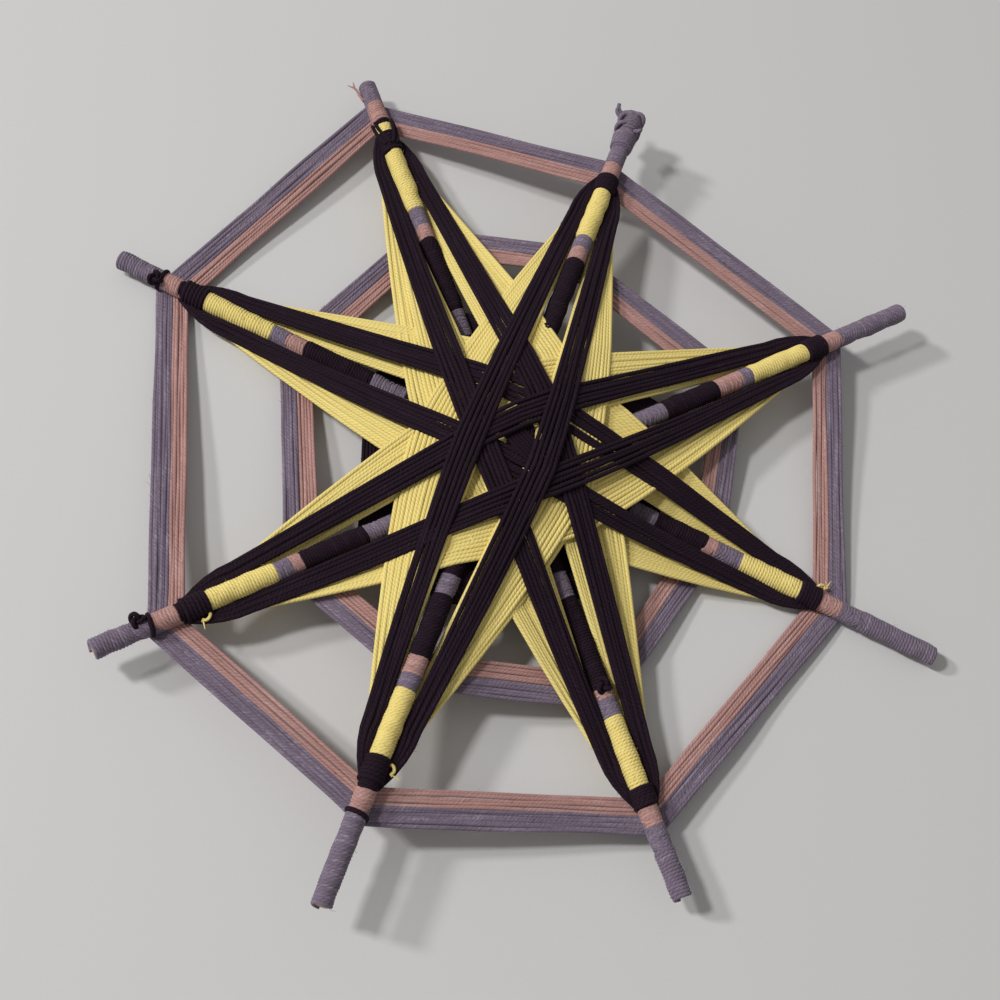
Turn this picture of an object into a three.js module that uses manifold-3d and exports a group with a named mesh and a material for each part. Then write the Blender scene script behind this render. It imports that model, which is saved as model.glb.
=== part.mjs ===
// Eight-armed ojo de dios: four crossed sticks, two yarn webs and two yarn stars.
// Millimetres. The star lies on its back, so +Z points out of its face and +Y to its top.

import * as THREE from "three";
import { mergeVertices } from "three/addons/utils/BufferGeometryUtils.js";
import Module from "manifold-3d";

const wasm = await Module();
wasm.setup();

// Sizes of the sticks
const stickLength = 300;
const stickDiameter = 4.4;
const stickSpacing = 0.4; // free height between two sticks where they cross
const stickSides = 12;

// Sizes of the yarn wraps that sit on the sticks
const wrapThickness = 0.6;
const pieceGap = 0.3; // left between any two pieces that touch
const wrapSides = 8;
const tipSetback = 0.5; // bare wood at each cut end

// Sizes of the webs
const purpleBandWidth = 6;
const pinkBandWidth = 4.5;
const ringBandWidth = 8;
const bandInset = 3.6; // how far the purple band reaches inside its mark on the arm
const bandThickness = 1;
const bandRidges = 1;
const ridgeDepthShare = 0.4;

// Sizes of the dark star's windings
const darkYarn = 0.8;
const darkLoops = 6;
const darkCentreReach = 8.6; // from the middle line to the innermost strand
const darkCentrePitch = 1.42;
const darkNestStep = 0.7; // how much farther out each loop passes beside the stick
const darkHighRow = 4.7; // every other strand leaves the stick this far above its axis
const darkLowRow = 2.8;
const darkTopReach = 5.4;

// Sizes of the yellow star's windings
const yellowYarn = 0.9;
const yellowLoops = 6;
const yellowCentreReach = 4.6;
const yellowCentrePitch = 5.1;
const yellowNestStep = 1;
const yellowRow = 1.4;

// Sizes that both stars' windings share
const sideReach = 4.3; // from a stick's axis to the first strand beside it
const backReach = 4.4; // from a stick's axis to the strands behind it
const cornerReach = 2.8;
const strandSides = 5;
const strandGap = 0.35; // left between a strand and what it is laid over
const legBendShare = 0.45; // where a leg bends between the middle and its end
const legBulgeShare = 0.65; // how much of its spread at the middle it still has there
const bendSpacing = 2; // the least run between two bends of a leg
const leastGap = 0.3;
const gapStep = 0.8;
const nearTurns = 5; // strand lengths, in diameters, that count as the same stretch
const restFlatShare = 0.1; // of the lowest strand's thickness, cut flat where the star lies on it
const centreDrawShare = 0.3; // how far the legs follow the woven centre, not the stick

// Sizes of the woven centre and the loose ends
const centreRadius = 8.8;
const centreCover = 1.2;
const centreSides = 16;
const tailThickness = 1.3;
const tailLength = 9;
const tailSides = 6;
const tailSteps = 7;
const tailSetback = 6; // from the outer web's mark in to a yellow tail
const knotRadius = 1.5;
const tipKnotLength = 9;
const tipKnotRadius = 4.2;
const tipTailInset = 1.6; // from the stick's end in to a tail there

// The bends of a tail that stands up from an arm and leans over, and of one that leaves it
// sideways: along the arm, aside and up, as shares of the tail's length.
const standingTailShares = [[0, 0, 0], [0, 0, 0.2], [-0.35, 0.3, 0.42], [-0.8, 0.6, 0.48], [-1, 0.9, 0.36]];
const sideTailShares = [[0, 0, 0], [0, 0.2, 0], [0.3, 0.3, 0.1], [0.7, 0.3, 0.2], [1, 0.2, 0.25]];

// Where the dark knots sit: the arm, and the reach as a share of the arm's length.
const darkKnots = [
  { arm: "A5", reachShare: 0.555 },
  { arm: "A7", reachShare: 0.9 },
  { arm: "A8", reachShare: 0.91 },
];
const yellowTailArms = ["A4", "A6", "A7"];
const pinkTailArm = "A1";
const tipKnotArm = "A2";

// Colours and feel, as photographed
const colours = {
  wood: 0xc9a778,
  purple: 0x6e6278,
  pink: 0xb98278,
  yellow: 0xe1d078,
  aubergine: 0x2b1830,
};
const woodRoughness = 0.7;
const yarnRoughness = 0.95;

// The sticks from the back to the front. Each lies a little off the middle, as shares of its length.
const sticks = [
  { arms: ["A4", "A8"], turnDegrees: -25.6, asideShare: 0.019, alongShare: 0.004 },
  { arms: ["A1", "A5"], turnDegrees: 108.9, asideShare: 0.002, alongShare: 0.008 },
  { arms: ["A3", "A7"], turnDegrees: 26.9, asideShare: -0.018, alongShare: 0.012 },
  { arms: ["A2", "A6"], turnDegrees: 69.7, asideShare: 0.018, alongShare: -0.022 },
];

// Marks along each arm, as shares of the arm's length from the middle of its stick:
// the outer web, the inner end of the dark collar, the inner web and the small purple ring.
const armShares = {
  A1: { web: 0.964, collar: 0.819, inner: 0.605, ring: 0.37 },
  A2: { web: 0.839, collar: 0.731, inner: 0.579, ring: 0.34 },
  A3: { web: 0.815, collar: 0.707, inner: 0.539, ring: 0.333 },
  A4: { web: 0.773, collar: 0.665, inner: 0.474, ring: 0.327 },
  A5: { web: 0.853, collar: 0.744, inner: 0.579, ring: 0.35 },
  A6: { web: 0.811, collar: 0.697, inner: 0.519, ring: 0.338 },
  A7: { web: 0.873, collar: 0.757, inner: 0.575, ring: 0.405 },
  A8: { web: 0.889, collar: 0.78, inner: 0.583, ring: 0.373 },
};
const armOrder = ["A1", "A2", "A3", "A4", "A5", "A6", "A7", "A8"];

// Sizes worked out from the ones above
const stickRadius = stickDiameter / 2;
const armLength = stickLength / 2;
const stickPitch = stickDiameter + stickSpacing;
const boreRadius = (stickRadius + pieceGap) / Math.cos(Math.PI / wrapSides);
const wrapRadius = boreRadius + wrapThickness;
const topLevel = (sticks.length - 1) * stickPitch;
const centreBottom = -stickRadius - pieceGap - centreCover;
const centreHigh = topLevel + stickRadius + pieceGap + centreCover;

const object = new THREE.Group();
object.name = "ojo_de_dios";

// Adds one named mesh in its own material.
function add(name, geometry, colour, roughness = yarnRoughness) {
  const material = new THREE.MeshStandardMaterial({ color: colour, roughness, metalness: 0 });
  const mesh = new THREE.Mesh(geometry, material);
  mesh.name = name;
  object.add(mesh);
  return mesh;
}

// Turns the faces of a closed geometry outwards if they point in.
function facingOut(geometry) {
  const places = geometry.attributes.position;
  const corners = geometry.index;
  const [first, second, third] = [0, 1, 2].map(() => new THREE.Vector3());
  let volume = 0;
  for (let corner = 0; corner < corners.count; corner += 3) {
    first.fromBufferAttribute(places, corners.getX(corner));
    second.fromBufferAttribute(places, corners.getX(corner + 1));
    third.fromBufferAttribute(places, corners.getX(corner + 2));
    volume += first.dot(second.cross(third));
  }
  if (volume < 0) {
    geometry.setIndex(Array.from(corners.array).reverse());
    geometry.computeVertexNormals();
  }
  return geometry;
}

// Turns a closed geometry into a solid that can be joined or cut.
function solidFrom(geometry) {
  const bare = geometry.clone();
  bare.deleteAttribute("normal");
  bare.deleteAttribute("uv");
  const merged = mergeVertices(bare);
  return new wasm.Manifold(new wasm.Mesh({
    numProp: 3,
    vertProperties: new Float32Array(merged.attributes.position.array),
    triVerts: new Uint32Array(merged.index.array),
  }));
}

// Turns a joined or cut solid back into a geometry.
function geometryFrom(solid) {
  const mesh = solid.getMesh();
  const geometry = new THREE.BufferGeometry();
  geometry.setAttribute("position", new THREE.BufferAttribute(mesh.vertProperties, 3));
  geometry.setIndex(new THREE.BufferAttribute(mesh.triVerts, 1));
  geometry.computeVertexNormals();
  return geometry;
}

// Makes a geometry from rings of points, each ring joined to the next and both ends closed.
function skin(rings) {
  const positions = [];
  const triangles = [];
  const count = rings[0].length;
  for (const ring of rings) {
    for (const point of ring) {
      positions.push(point.x, point.y, point.z);
    }
  }
  for (let row = 0; row + 1 < rings.length; row += 1) {
    for (let side = 0; side < count; side += 1) {
      const here = row * count + side;
      const next = row * count + ((side + 1) % count);
      triangles.push(here, next, next + count);
      triangles.push(here, next + count, here + count);
    }
  }
  const last = (rings.length - 1) * count;
  for (let side = 1; side + 1 < count; side += 1) {
    triangles.push(0, side + 1, side);
    triangles.push(last, last + side, last + side + 1);
  }
  const geometry = new THREE.BufferGeometry();
  geometry.setAttribute("position", new THREE.Float32BufferAttribute(positions, 3));
  geometry.setIndex(triangles);
  geometry.computeVertexNormals();
  return facingOut(geometry);
}

// Makes a tube of even thickness through the points, with flat ends square to its run.
function tubeThrough(points, thickness, sides) {
  const rings = [];
  let normal = new THREE.Vector3();
  points.forEach((point, index) => {
    const before = points[Math.max(index - 1, 0)];
    const after = points[Math.min(index + 1, points.length - 1)];
    const arriving = point.clone().sub(before).normalize();
    const leaving = after.clone().sub(point).normalize();
    const tangent = arriving.add(leaving).normalize();
    if (index === 0) {
      const helper = Math.abs(tangent.z) < Math.SQRT1_2
        ? new THREE.Vector3(0, 0, 1)
        : new THREE.Vector3(1, 0, 0);
      normal.crossVectors(tangent, helper);
    }
    normal = normal.clone().addScaledVector(tangent, -normal.dot(tangent)).normalize();
    const binormal = new THREE.Vector3().crossVectors(tangent, normal);
    const ring = [];
    for (let side = 0; side < sides; side += 1) {
      const angle = (side / sides) * 2 * Math.PI;
      ring.push(point.clone()
        .addScaledVector(normal, (Math.cos(angle) * thickness) / 2)
        .addScaledVector(binormal, (Math.sin(angle) * thickness) / 2));
    }
    rings.push(ring);
  });
  return skin(rings);
}

// The arms, each with its own outward and sideways directions
const arms = {};
sticks.forEach((stick, index) => {
  const turn = THREE.MathUtils.degToRad(stick.turnDegrees);
  stick.along = new THREE.Vector3(Math.cos(turn), Math.sin(turn), 0);
  stick.aside = new THREE.Vector3(-Math.sin(turn), Math.cos(turn), 0);
  stick.level = index * stickPitch;
  stick.layer = index;
  stick.middle = new THREE.Vector3(0, 0, stick.level)
    .addScaledVector(stick.along, stick.alongShare * stickLength)
    .addScaledVector(stick.aside, stick.asideShare * stickLength);
  stick.arms.forEach((name, end) => {
    const way = end === 0 ? 1 : -1;
    arms[name] = {
      out: stick.along.clone().multiplyScalar(way),
      side: stick.aside.clone().multiplyScalar(way),
      middle: stick.middle,
      web: armShares[name].web * armLength,
      collar: armShares[name].collar * armLength,
      inner: armShares[name].inner * armLength,
      ring: armShares[name].ring * armLength,
    };
  });
});

// A point at a reach along an arm, a way to its side and a way up.
function onArm(name, reach, sideways, up) {
  const arm = arms[name];
  return arm.middle.clone()
    .addScaledVector(arm.out, reach)
    .addScaledVector(arm.side, sideways)
    .add(new THREE.Vector3(0, 0, up));
}

// Lays a turned shape, made round Y, along an arm.
function alongArm(geometry, name) {
  const arm = arms[name];
  const frame = new THREE.Matrix4().makeBasis(arm.side, arm.out, new THREE.Vector3(0, 0, -1));
  frame.setPosition(arm.middle);
  return geometry.applyMatrix4(frame);
}

// A sleeve of wound yarn on an arm, from one reach to another, open for the stick.
function sleeve(name, from, to) {
  const profile = [
    new THREE.Vector2(boreRadius, from),
    new THREE.Vector2(wrapRadius, from),
    new THREE.Vector2(wrapRadius, to),
    new THREE.Vector2(boreRadius, to),
    new THREE.Vector2(boreRadius, from),
  ];
  return facingOut(alongArm(new THREE.LatheGeometry(profile, wrapSides), name));
}

// Wooden sticks
sticks.forEach((stick) => {
  const geometry = new THREE.CylinderGeometry(stickRadius, stickRadius, stickLength, stickSides);
  alongArm(geometry, stick.arms[0]);
  add(`stick_${stick.arms.join("_")}`, geometry, colours.wood, woodRoughness);
});

// The straight pieces that a star's strand has to pass over: the sticks in their wraps and the rim
// of the woven centre at first, then the webs, and then every strand that is already laid.
const laid = [];
sticks.forEach((stick) => {
  const [start, end] = stick.arms.map((name) => onArm(name, armLength, 0, 0));
  laid.push({ start, end, thickness: 2 * wrapRadius, stick, star: null });
});
for (let side = 0; side < centreSides; side += 1) {
  const [start, end] = [side, side + 1].map((corner) => {
    const angle = (corner / centreSides) * 2 * Math.PI;
    return new THREE.Vector3(Math.cos(angle), Math.sin(angle), 0)
      .multiplyScalar(centreRadius)
      .setZ(centreHigh);
  });
  laid.push({ start, end, thickness: 0, stick: null, star: null });
}

// One run of a band between two neighbouring arms, ridged like the strands side by side. It
// starts and ends inside the walls of its own wraps.
function bandRun(from, to, spans) {
  const wall = (boreRadius + wrapRadius) / 2;
  const rings = [[from, -wall], [to, wall]].map(([name, sideways]) => {
    const [low, high] = spans[name];
    const pitch = (high - low) / bandRidges;
    const crest = bandThickness / 2;
    const valley = crest - ridgeDepthShare * crest;
    const top = [];
    const bottom = [];
    for (let step = 0; step <= 2 * bandRidges; step += 1) {
      const half = step % 2 === 0 ? valley : crest;
      const reach = low + (step * pitch) / 2;
      top.push(onArm(name, reach, sideways, half));
      bottom.unshift(onArm(name, reach, sideways, -half));
    }
    return top.concat(bottom);
  });
  return skin(rings);
}

// A web band all the way round, with its wrap on every arm, as one body.
function webBand(name, spanOn, colour) {
  const spans = Object.fromEntries(armOrder.map((arm) => [arm, spanOn(arms[arm])]));
  let band = null;
  const join = (solid) => {
    band = band === null ? solid : band.add(solid);
  };
  armOrder.forEach((arm, index) => {
    const next = armOrder[(index + 1) % armOrder.length];
    join(solidFrom(bandRun(arm, next, spans)));
    spans[arm].forEach((reach, edge) => laid.push({
      start: onArm(arm, reach, 0, 0),
      end: onArm(next, spans[next][edge], 0, 0),
      thickness: bandThickness,
      stick: null,
      star: null,
    }));
    join(solidFrom(sleeve(arm, spans[arm][0], spans[arm][1])));
  });
  add(name, geometryFrom(band), colour);
}

const purpleSpan = (mark) => [mark - bandInset, mark - bandInset + purpleBandWidth];
const pinkSpan = (mark) => {
  const outer = mark - bandInset - pieceGap;
  return [outer - pinkBandWidth, outer];
};
webBand("outer_web_purple", (arm) => purpleSpan(arm.web), colours.purple);
webBand("outer_web_pink", (arm) => pinkSpan(arm.web), colours.pink);
webBand("inner_web_purple", (arm) => purpleSpan(arm.inner), colours.purple);
webBand("inner_web_pink", (arm) => pinkSpan(arm.inner), colours.pink);
webBand("centre_ring_purple", (arm) => [arm.ring - ringBandWidth, arm.ring], colours.purple);

// Plain wraps on each arm, between the webs' own wraps
armOrder.forEach((name) => {
  const arm = arms[name];
  const tipStart = purpleSpan(arm.web)[1] + pieceGap;
  const collarEnd = pinkSpan(arm.web)[0] - pieceGap;
  const yellowStart = purpleSpan(arm.inner)[1] + pieceGap;
  const darkEnd = pinkSpan(arm.inner)[0] - pieceGap;
  arm.collarSpan = [arm.collar, collarEnd];
  arm.yellowSpan = [yellowStart, arm.collar - pieceGap];
  const tipKnot = name === tipKnotArm ? tipKnotLength + pieceGap : 0;
  const tipEnd = armLength - tipSetback - tipKnot;
  add(`tip_wrap_${name}`, sleeve(name, tipStart, tipEnd), colours.purple);
  add(`dark_collar_${name}`, sleeve(name, ...arm.collarSpan), colours.aubergine);
  add(`yellow_wrap_${name}`, sleeve(name, ...arm.yellowSpan), colours.yellow);
  add(`dark_wrap_${name}`, sleeve(name, arm.ring + pieceGap, darkEnd), colours.aubergine);
});

// Where two straight pieces cross, seen from the front, as a share of each; null if they don't.
function crossingOf(start, end, otherStart, otherEnd) {
  const run = end.clone().sub(start);
  const otherRun = otherEnd.clone().sub(otherStart);
  const apart = otherStart.clone().sub(start);
  const turned = run.x * otherRun.y - run.y * otherRun.x;
  const share = (apart.x * otherRun.y - apart.y * otherRun.x) / turned;
  const otherShare = (apart.x * run.y - apart.y * run.x) / turned;
  const meets = share > 0 && share < 1 && otherShare > 0 && otherShare < 1;
  return meets ? { share, otherShare } : null;
}

// Lays a leg of a strand taut over everything under it: up one straight slope, level over the
// highest place and down another slope.
function layOver(plan, firstHeight, lastHeight, stick, star) {
  const runs = [0];
  const bumps = [];
  for (let index = 0; index + 1 < plan.length; index += 1) {
    const [from, to] = [plan[index], plan[index + 1]];
    const length = Math.hypot(to.x - from.x, to.y - from.y);
    for (const piece of laid) {
      const own = piece.stick === stick && (piece.star === star || piece.star === null);
      const meeting = own ? null : crossingOf(from, to, piece.start, piece.end);
      if (meeting) {
        const under = THREE.MathUtils.lerp(piece.start.z, piece.end.z, meeting.otherShare);
        bumps.push({
          run: runs[index] + meeting.share * length,
          height: under + (piece.thickness + star.yarn) / 2 + strandGap,
        });
      }
    }
    runs.push(runs[index] + length);
  }
  const whole = runs[runs.length - 1];
  const top = Math.max(...bumps.map(({ height }) => height));
  const rise = Math.max(...bumps.map(({ run, height }) => (height - firstHeight) / run));
  const fall = Math.max(...bumps.map(({ run, height }) => (height - lastHeight) / (whole - run)));
  const crests = [(top - firstHeight) / rise, whole - (top - lastHeight) / fall];
  const kept = runs.filter((run) => crests.every((crest) => Math.abs(run - crest) > bendSpacing));
  const bends = kept.concat(crests[1] - crests[0] > bendSpacing ? crests : crests.slice(0, 1));
  bends.sort((one, other) => one - other);
  return bends.map((run) => {
    const index = Math.min(runs.filter((mark) => mark <= run).length, runs.length - 1) - 1;
    const share = (run - runs[index]) / (runs[index + 1] - runs[index]);
    const point = plan[index].clone().lerp(plan[index + 1], share);
    const slopes = [firstHeight + rise * run, lastHeight + fall * (whole - run)];
    return point.setZ(Math.min(top, ...slopes));
  });
}

// One winding round a pair of opposite arms: a single strand that crosses the middle, turns over
// or behind the arm, comes back on the other side, and steps outwards with every loop.
function windingPath(stick, star) {
  const [near, far] = stick.arms.slice().reverse();
  const rowOf = (loop) => (loop % 2 === 1 ? star.highRow : star.lowRow);
  const reachOf = (name, loop) => {
    const [from, to] = star.spanOn(arms[name]);
    const first = from + star.yarn / 2;
    const last = to - star.yarn / 2;
    return first + ((last - first) * loop) / (star.loops - 1);
  };
  const sideOf = (loop) => sideReach + star.nestStep * loop;
  // The far arm's side direction is the stick's own; the near arm's is its opposite.
  const at = (name, reach, sideways, up) => {
    const way = name === far ? 1 : -1;
    return onArm(name, reach, way * sideways, up);
  };
  const leg = (from, to, side, loop) => {
    const spread = star.centreReach + loop * star.centrePitch;
    const draw = -centreDrawShare * stick.asideShare * stickLength;
    const bent = sideOf(loop) + (spread - sideOf(loop)) * legBulgeShare;
    const [start, end] = [from, to].map((name) => at(name, reachOf(name, loop), side * sideOf(loop), 0));
    const [early, late] = [from, to].map((name) => at(
      name,
      legBendShare * reachOf(name, loop),
      side * bent + draw * (1 - legBendShare),
      0,
    ));
    const middle = at(far, 0, side * spread + draw, 0);
    const row = stick.level + rowOf(loop);
    const points = layOver([start, early, middle, late, end], row, row, stick, star);
    for (let index = 0; index + 1 < points.length; index += 1) {
      const [first, last] = [points[index], points[index + 1]];
      own.push({ start: first, end: last, thickness: star.yarn, stick, star });
    }
    return points;
  };
  const turn = (name, reach, nextReach, side, loop) => {
    const up = star.overTheTop(loop) ? star.topReach : -backReach;
    return [
      at(name, reach, side * cornerReach, up),
      at(name, nextReach, -side * cornerReach, up),
    ];
  };
  const points = [];
  const own = [];
  for (let loop = 0; loop < star.loops; loop += 1) {
    points.push(...leg(near, far, 1, loop));
    points.push(...turn(far, reachOf(far, loop), reachOf(far, loop), 1, loop));
    points.push(...leg(far, near, -1, loop));
    if (loop + 1 < star.loops) {
      points.push(...turn(near, reachOf(near, loop), reachOf(near, loop + 1), -1, loop + 1));
    }
  }
  // Both ends run straight to the wrap, square to it.
  const closeUp = (side, loop) => {
    const angle = Math.atan2(rowOf(loop), sideOf(loop));
    const reach = wrapRadius + pieceGap;
    return at(near, reachOf(near, loop), side * reach * Math.cos(angle), reach * Math.sin(angle));
  };
  points.unshift(closeUp(1, 0));
  points.push(closeUp(-1, star.loops - 1));
  laid.push(...own);
  return points;
}

// The least gap between stretches of a strand that aren't next to each other along it.
function gapToItself(points, thickness) {
  const marks = [];
  let travelled = 0;
  for (let index = 0; index + 1 < points.length; index += 1) {
    const length = points[index].distanceTo(points[index + 1]);
    const steps = Math.ceil(length / gapStep);
    for (let step = 0; step < steps; step += 1) {
      const point = points[index].clone().lerp(points[index + 1], step / steps);
      marks.push({ point, travelled: travelled + (length * step) / steps });
    }
    travelled += length;
  }
  let least = Infinity;
  for (let one = 0; one < marks.length; one += 1) {
    for (let two = one + 1; two < marks.length; two += 1) {
      if (marks[two].travelled - marks[one].travelled > nearTurns * thickness) {
        least = Math.min(least, marks[one].point.distanceTo(marks[two].point));
      }
    }
  }
  return least - thickness;
}

const stars = [
  {
    name: "yellow_star",
    colour: colours.yellow,
    yarn: yellowYarn,
    loops: yellowLoops,
    centreReach: yellowCentreReach,
    centrePitch: yellowCentrePitch,
    nestStep: yellowNestStep,
    highRow: yellowRow,
    lowRow: yellowRow,
    overTheTop: () => false,
    spanOn: (arm) => arm.yellowSpan,
  },
  {
    name: "dark_star",
    colour: colours.aubergine,
    yarn: darkYarn,
    loops: darkLoops,
    centreReach: darkCentreReach,
    centrePitch: darkCentrePitch,
    nestStep: darkNestStep,
    highRow: darkHighRow,
    lowRow: darkLowRow,
    topReach: darkTopReach,
    overTheTop: (loop) => loop % 2 === 1,
    spanOn: (arm) => arm.collarSpan,
  },
];

stars.forEach((star) => {
  sticks.forEach((stick) => {
    const path = windingPath(stick, star);
    const gap = gapToItself(path, star.yarn);
    const verdict = gap > leastGap ? "clear" : "TOO CLOSE";
    const name = `${star.name}_${stick.arms.join("_")}`;
    console.log(`${name}: least gap to itself ${gap.toFixed(2)} mm, ${verdict}`);
    add(name, tubeThrough(path, star.yarn, strandSides), star.colour);
  });
});

// The woven centre round the crossing, cut clear of the sticks
const centreProfile = [
  new THREE.Vector2(0, centreBottom),
  new THREE.Vector2(centreRadius, centreBottom),
  new THREE.Vector2(centreRadius, centreHigh - centreCover),
  new THREE.Vector2(centreRadius - centreCover, centreHigh),
  new THREE.Vector2(0, centreHigh),
];
const centreShape = new THREE.LatheGeometry(centreProfile, centreSides);
centreShape.rotateX(Math.PI / 2);
let centre = solidFrom(facingOut(centreShape));
sticks.forEach((stick) => {
  const channel = new THREE.CylinderGeometry(boreRadius, boreRadius, stickLength, stickSides);
  centre = centre.subtract(solidFrom(alongArm(channel, stick.arms[0])));
});
add("woven_centre", geometryFrom(centre), colours.aubergine);

// Loose ends and knots. Each tail leaves its wrap square to it, up or to the side.
function tail(name, reach, shares, upwards) {
  const start = wrapRadius + pieceGap;
  const bends = shares.map(([along, aside, up]) => onArm(
    name,
    reach + along * tailLength,
    aside * tailLength + (upwards ? 0 : start),
    up * tailLength + (upwards ? start : 0),
  ));
  const points = new THREE.CatmullRomCurve3(bends).getPoints(tailSteps);
  return tubeThrough(points, tailThickness, tailSides);
}

yellowTailArms.forEach((name) => {
  const reach = arms[name].web - tailSetback;
  add(`yellow_tail_${name}`, tail(name, reach, standingTailShares, true), colours.yellow);
});
const pinkTail = tail(pinkTailArm, armLength - tipTailInset, sideTailShares, false);
add(`pink_tail_${pinkTailArm}`, pinkTail, colours.pink);

darkKnots.forEach(({ arm, reachShare }) => {
  const knot = new THREE.IcosahedronGeometry(knotRadius, 1);
  const place = onArm(arm, reachShare * armLength, 0, wrapRadius + pieceGap + knotRadius);
  knot.translate(place.x, place.y, place.z);
  add(`dark_knot_${arm}`, knot, colours.aubergine);
});

// The knot that swells round the end of one arm, with its tail
const tipKnotEnd = armLength - tipSetback;
const tipKnotStart = tipKnotEnd - tipKnotLength;
const tipKnotSwell = tipKnotRadius - wrapRadius;
const tipKnotProfile = [
  new THREE.Vector2(boreRadius, tipKnotStart),
  new THREE.Vector2(wrapRadius, tipKnotStart),
  new THREE.Vector2(tipKnotRadius, tipKnotStart + tipKnotSwell),
  new THREE.Vector2(tipKnotRadius, tipKnotEnd - tipKnotSwell),
  new THREE.Vector2(wrapRadius, tipKnotEnd),
  new THREE.Vector2(boreRadius, tipKnotEnd),
  new THREE.Vector2(boreRadius, tipKnotStart),
];
const tipKnot = alongArm(new THREE.LatheGeometry(tipKnotProfile, wrapSides), tipKnotArm);
const tipTail = tail(tipKnotArm, (tipKnotStart + tipKnotEnd) / 2, sideTailShares, false);
const knotWithTail = solidFrom(facingOut(tipKnot)).add(solidFrom(tipTail));
add(`purple_knot_${tipKnotArm}`, geometryFrom(knotWithTail), colours.purple);

// Puts the origin under the middle of the whole, at the height of its lowest strand, which is cut
// flat there.
object.updateMatrixWorld(true);
const wholeBox = new THREE.Box3().setFromObject(object, true);
const floor = wholeBox.min.z + restFlatShare * yellowYarn;
object.traverse((mesh) => {
  if (mesh.isMesh) {
    const places = mesh.geometry.attributes.position;
    for (let index = 0; index < places.count; index += 1) {
      places.setZ(index, Math.max(places.getZ(index), floor));
    }
  }
});
const wholeMiddle = wholeBox.getCenter(new THREE.Vector3());
object.position.set(-wholeMiddle.x, -wholeMiddle.y, -floor);

export default object;
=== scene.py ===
"""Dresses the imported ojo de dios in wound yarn: sticks, wraps, webs, stars, knots and tails."""

import logging
import math
from dataclasses import dataclass
from enum import Enum
from typing import Callable, Sequence, Union

import bpy
import numpy as np
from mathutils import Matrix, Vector, noise


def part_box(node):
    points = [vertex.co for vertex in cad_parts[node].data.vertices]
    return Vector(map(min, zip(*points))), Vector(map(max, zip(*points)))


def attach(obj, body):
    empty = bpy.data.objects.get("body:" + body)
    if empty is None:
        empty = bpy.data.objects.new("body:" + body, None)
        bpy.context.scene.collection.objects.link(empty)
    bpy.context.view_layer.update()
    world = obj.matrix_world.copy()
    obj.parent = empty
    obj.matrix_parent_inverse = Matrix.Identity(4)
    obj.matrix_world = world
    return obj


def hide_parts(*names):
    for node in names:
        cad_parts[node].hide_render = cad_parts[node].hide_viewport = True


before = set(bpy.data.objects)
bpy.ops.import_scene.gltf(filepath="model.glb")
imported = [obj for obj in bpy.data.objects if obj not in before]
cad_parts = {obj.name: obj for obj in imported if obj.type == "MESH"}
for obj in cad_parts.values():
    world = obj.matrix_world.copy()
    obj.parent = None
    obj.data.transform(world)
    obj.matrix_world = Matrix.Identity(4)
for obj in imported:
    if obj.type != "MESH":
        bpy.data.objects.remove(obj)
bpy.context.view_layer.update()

log = logging.getLogger("ojo_de_dios")

MM = 0.001  # metres in a millimetre
BODY = "root"
YARN_MAP = "YarnRun"
WANDER_SEED = 8  # without it the strands would wander differently in every run

Colour = tuple[int, int, int]

STICK_LENGTH = 300 * MM
STICK_RADIUS = 2.2 * MM
ARM_LENGTH = STICK_LENGTH / 2
YARN = 1.3 * MM
WRAP_RADIUS = STICK_RADIUS + YARN / 4  # from a stick's axis to the middle of the yarn on it
OVER_RADIUS = WRAP_RADIUS + YARN / 2  # to the middle of a second layer
BACK = -math.pi / 2  # the angle round an arm that faces the surface below
FRONT_DEGREES = 90  # the angle round an arm that faces the viewer
TURN = 2 * math.pi


@dataclass(frozen=True)
class ArmShares:
    """Where one arm's yarn changes colour, as shares of its length from the stick's middle."""

    web: float
    pink: float
    collar: float
    yellow: float
    purple: float
    inner_pink: float
    ring: float
    ring_end: float


ARM_SHARES: dict[str, ArmShares] = {
    "A1": ArmShares(0.964, 0.911, 0.819, 0.653, 0.605, 0.568, 0.37, 0.3),
    "A2": ArmShares(0.839, 0.799, 0.753, 0.613, 0.579, 0.544, 0.34, 0.28),
    "A3": ArmShares(0.815, 0.771, 0.719, 0.566, 0.539, 0.472, 0.333, 0.251),
    "A4": ArmShares(0.773, 0.723, 0.675, 0.533, 0.474, 0.448, 0.327, 0.262),
    "A5": ArmShares(0.853, 0.812, 0.77, 0.618, 0.579, 0.557, 0.35, 0.29),
    "A6": ArmShares(0.811, 0.768, 0.697, 0.553, 0.519, 0.479, 0.338, 0.292),
    "A7": ArmShares(0.873, 0.824, 0.757, 0.608, 0.575, 0.551, 0.405, 0.332),
    "A8": ArmShares(0.889, 0.85, 0.785, 0.621, 0.583, 0.538, 0.373, 0.289),
}
ARM_ORDER = tuple(ARM_SHARES)


class Slot(Enum):
    """The record's material slots."""

    WOOD = "stick_wood"
    PURPLE = "purple_yarn"
    PINK = "pink_yarn"
    YELLOW = "yellow_yarn"
    DARK = "dark_yarn"


@dataclass(frozen=True)
class Stick:
    """One stick: its two arms, its turn seen from the front and its place from the back."""

    first: str
    second: str
    turn_degrees: float
    layer: int

    @property
    def node(self) -> str:
        """The name of the stick's CAD node."""
        return f"stick_{self.first}_{self.second}"

    @property
    def along(self) -> Vector:
        """The direction from the stick's middle to its first arm's end."""
        turn = math.radians(self.turn_degrees)
        return Vector((math.cos(turn), math.sin(turn), 0))

    @property
    def middle(self) -> Vector:
        """The stick's middle, read from its CAD node."""
        low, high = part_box(self.node)
        return (low + high) / 2


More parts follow.
